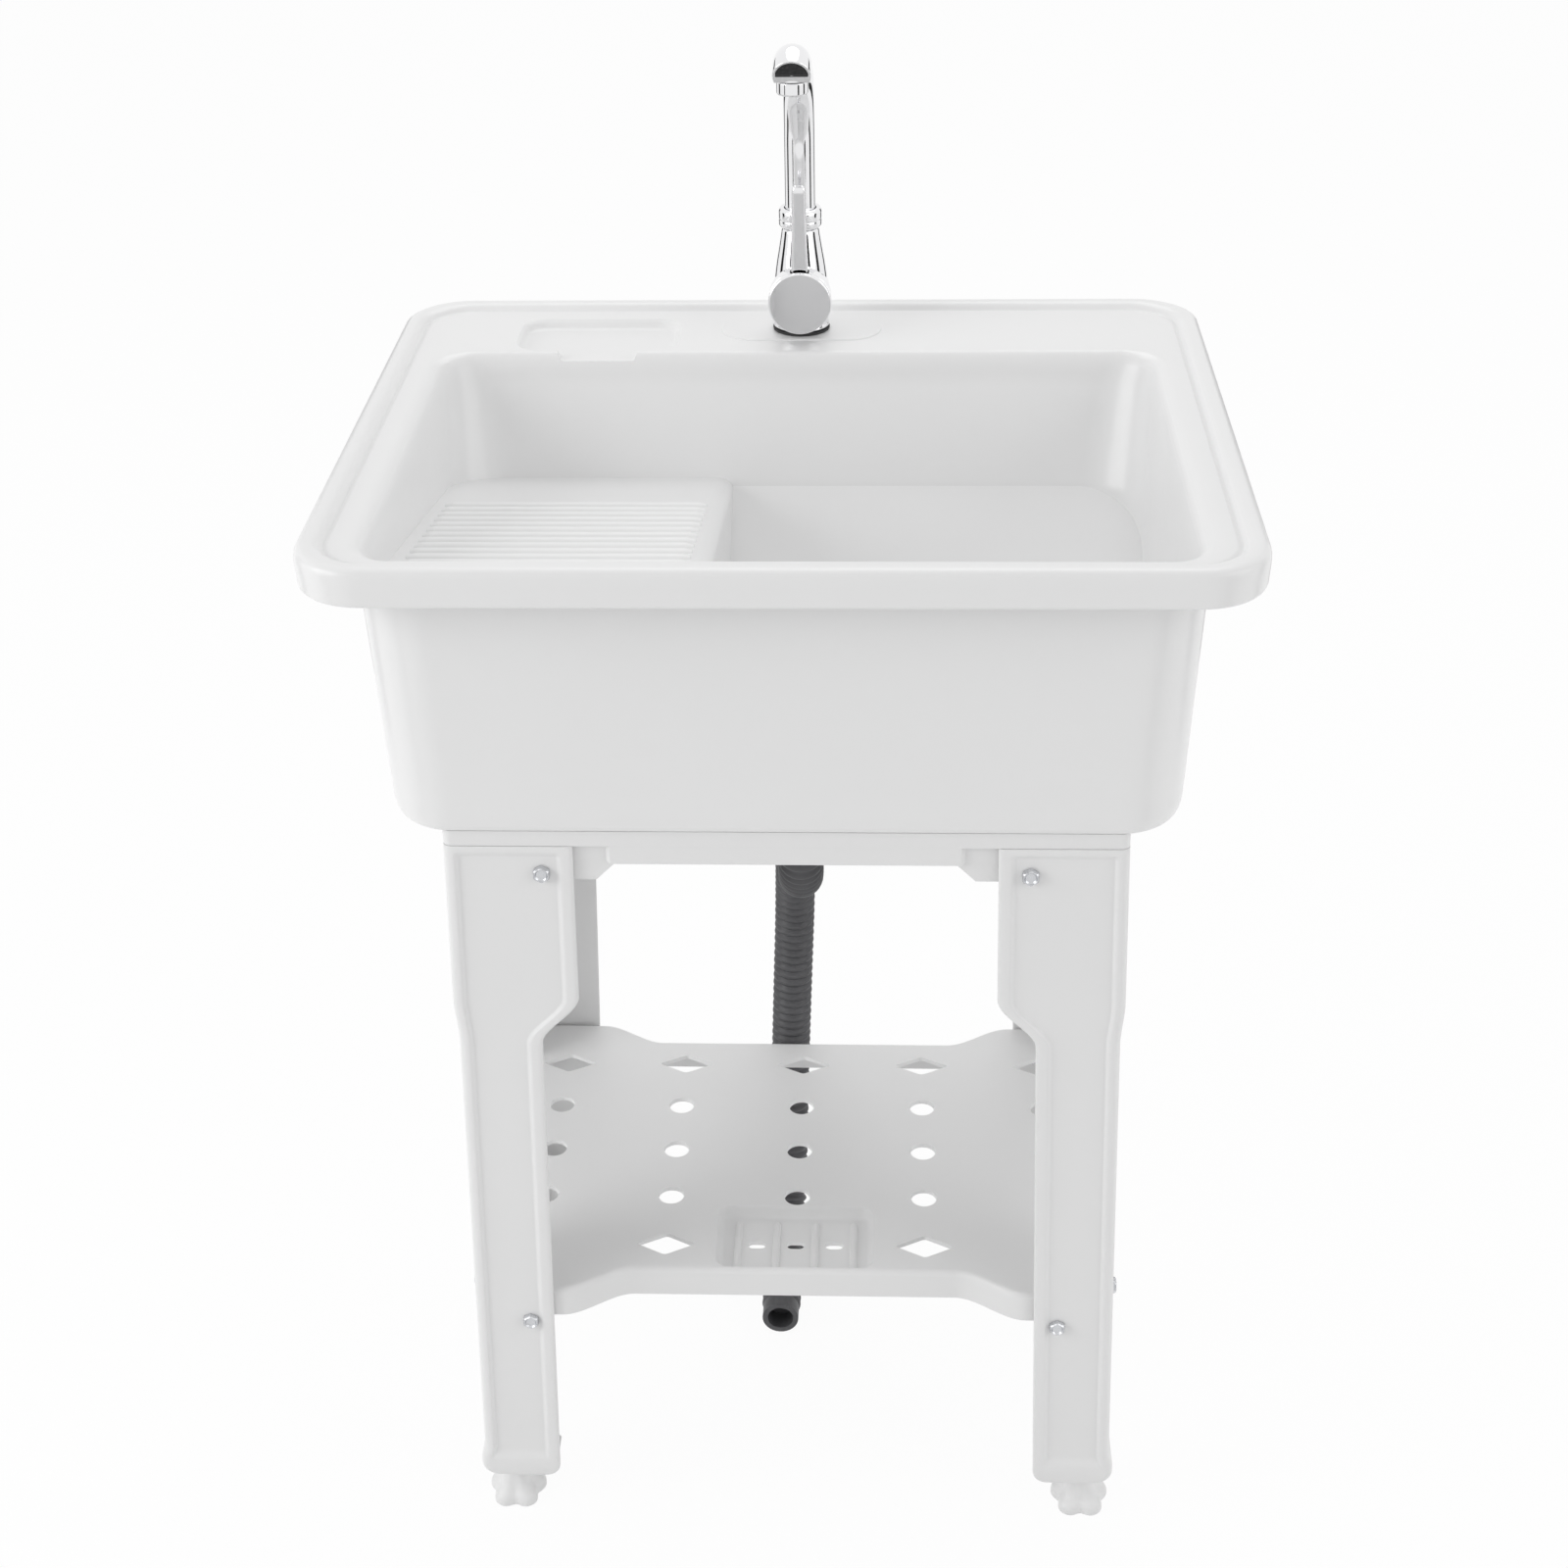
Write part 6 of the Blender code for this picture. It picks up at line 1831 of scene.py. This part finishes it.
class LAUNDRY_SINK_OT_stage(bpy.types.Operator):
    """Sets the camera, the floor and the soft lights"""

    bl_idname = "laundry_sink.stage"
    bl_label = "Stage"

    def execute(self, context):
        scene = context.scene
        scene.view_settings.view_transform = "Standard"
        lens = bpy.data.cameras.new("photo_camera")
        lens.sensor_width = 36.0
        lens.lens = CAMERA_LENS
        lens.clip_start = 0.05
        camera = linked("photo_camera", lens)
        turn = Matrix(camera_axes()).transposed().to_4x4()
        camera.matrix_world = Matrix.Translation(CAMERA_AT) @ turn
        scene.camera = camera
        self.floor()
        self.world(scene)
        self.lights()
        self.cards()
        return {"FINISHED"}

    def floor(self):
        """A pale floor that looks white and keeps a trace of the sink's shadow."""
        bm = bmesh.new()
        bmesh.ops.create_grid(bm, x_segments=2, y_segments=2, size=8.0)
        floor = to_object("studio_floor", bm)
        made = bpy.data.materials.new("floor_white")
        made.use_nodes = True
        tree = made.node_tree
        tree.nodes.clear()
        matt = add_node(tree, "ShaderNodeBsdfDiffuse", {"Color": (0.90, 0.90, 0.90, 1.0)})
        glow = add_node(tree, "ShaderNodeEmission", {"Strength": 1.0})
        share = maths(tree, "MULTIPLY", seen_factor(tree), FLOOR_GLOW)
        blended(tree, share, matt, glow, "ShaderNodeOutputMaterial")
        floor.data.materials.append(made)

    def world(self, scene):
        """White to the eye and to mirrors, and a softer light for everything else."""
        world = bpy.data.worlds.new("studio")
        world.use_nodes = True
        scene.world = world
        tree = world.node_tree
        tree.nodes.clear()
        white = (1.0, 1.0, 1.0, 1.0)
        soft = add_node(tree, "ShaderNodeBackground", {"Color": white, "Strength": SOFT_LIGHT})
        seen = add_node(tree, "ShaderNodeBackground", {"Color": white, "Strength": 1.0})
        blended(tree, seen_factor(tree), soft, seen, "ShaderNodeOutputWorld")

    def lights(self):
        """Three broad soft lamps."""
        # Name, place, target, size and power
        lamps = (
            ("key", (-2.4, -1.2, 1.6), (0.0, 0.0, 0.6), 2.0, 28.0),
            ("fill", (2.3, -1.2, 1.5), (0.0, 0.0, 0.5), 2.0, 14.0),
            ("top", (0.1, 1.4, 2.9), (0.0, 0.0, 0.8), 1.8, 12.0),
        )
        for name, at, target, size, power in lamps:
            lamp = bpy.data.lights.new("lamp_" + name, "AREA")
            lamp.shape = "DISK"
            lamp.size = size
            lamp.energy = power
            obj = linked("lamp_" + name, lamp)
            aim = Vector(target) - Vector(at)
            obj.location = at
            obj.rotation_euler = aim.to_track_quat("-Z", "Y").to_euler()

    def cards(self):
        """Dark cards that only polished metal mirrors, and a dark flag that shades the front."""
        made = bpy.data.materials.new("card_black")
        made.use_nodes = True
        shader = made.node_tree.nodes["Principled BSDF"]
        shader.inputs["Base Color"].default_value = (0.01, 0.01, 0.01, 1.0)
        shader.inputs["Roughness"].default_value = 0.9
        # Name, turn about the tap, width, distance, height of the middle and half height
        cards = (
            ("left", -97.0, 0.34, 1.25, 0.55, 0.60),
            ("near_left", -50.0, 0.14, 1.25, 0.55, 0.60),
            ("right", 42.0, 0.24, 1.25, 0.55, 0.60),
            ("far_right", 88.0, 0.30, 1.25, 0.55, 0.60),
            ("back_left", -142.0, 0.30, 1.25, 0.55, 0.60),
            ("back_right", 142.0, 0.30, 1.25, 0.55, 0.60),
            ("flag", 0.0, 2.4, 3.6, 1.9, 0.9),
        )
        for name, turn, wide, away, height, half in cards:
            a = math.radians(turn)
            middle = Vector((TAP[0] + away * math.sin(a), TAP[1] - away * math.cos(a), height))
            side = Vector((math.cos(a), math.sin(a), 0.0)) * wide * 0.5
            up = Vector((0.0, 0.0, half))
            low = (middle - side - up, middle + side - up)
            high = (middle + side + up, middle - side + up)
            bm = bmesh.new()
            bm.faces.new([bm.verts.new(corner) for corner in (*low, *high)])
            card = to_object("card_" + name, bm)
            card.data.materials.append(made)
            card.visible_camera = False
            card.visible_glossy = name != "flag"
            card.visible_diffuse = name == "flag"
            card.visible_transmission = False
            card.visible_shadow = False


PIECE_STEPS = (
    LAUNDRY_SINK_OT_hose,
    LAUNDRY_SINK_OT_basin,
    LAUNDRY_SINK_OT_legs,
    LAUNDRY_SINK_OT_feet,
    LAUNDRY_SINK_OT_top_frame,
    LAUNDRY_SINK_OT_shelf,
    LAUNDRY_SINK_OT_bolts,
    LAUNDRY_SINK_OT_tap,
    LAUNDRY_SINK_OT_drain,
    LAUNDRY_SINK_OT_small_parts,
)


class LAUNDRY_SINK_PT_panel(bpy.types.Panel):
    """Sizes, colours and steps of the sink"""

    bl_idname = "LAUNDRY_SINK_PT_panel"
    bl_label = "Laundry sink"
    bl_space_type = "VIEW_3D"
    bl_region_type = "UI"
    bl_category = "Laundry sink"

    def draw(self, context):
        column = self.layout.column()
        for group in (context.scene.laundry_sink_sizes, context.scene.laundry_sink_colours):
            for name in group.__annotations__:
                column.prop(group, name)
        column.operator(LAUNDRY_SINK_OT_stage.bl_idname)
        for step in PIECE_STEPS:
            column.operator(step.bl_idname)


CLASSES = (SinkSizes, SinkColours, LAUNDRY_SINK_OT_stage, *PIECE_STEPS, LAUNDRY_SINK_PT_panel)


def register():
    for cls in CLASSES:
        bpy.utils.register_class(cls)
    bpy.types.Scene.laundry_sink_sizes = bpy.props.PointerProperty(type=SinkSizes)
    bpy.types.Scene.laundry_sink_colours = bpy.props.PointerProperty(type=SinkColours)


def unregister():
    del bpy.types.Scene.laundry_sink_colours
    del bpy.types.Scene.laundry_sink_sizes
    for cls in reversed(CLASSES):
        bpy.utils.unregister_class(cls)


def clear_start():
    """Removes what Blender opens with, and keeps the frame."""
    kept = {obj.name for group in ("nodes", "bodies") for obj in frame[group].values()}
    for obj in list(bpy.data.objects):
        if obj.name not in kept:
            bpy.data.objects.remove(obj, do_unlink=True)


def main():
    register()
    clear_start()
    make_finishes(bpy.context.scene.laundry_sink_colours)
    bpy.ops.laundry_sink.stage()
    bpy.ops.laundry_sink.hose()
    bpy.ops.laundry_sink.basin()
    bpy.ops.laundry_sink.legs()
    bpy.ops.laundry_sink.feet()
    bpy.ops.laundry_sink.top_frame()
    bpy.ops.laundry_sink.shelf()
    bpy.ops.laundry_sink.bolts()
    bpy.ops.laundry_sink.tap()
    bpy.ops.laundry_sink.drain()
    bpy.ops.laundry_sink.small_parts()


if __name__ == "__main__":
    main()
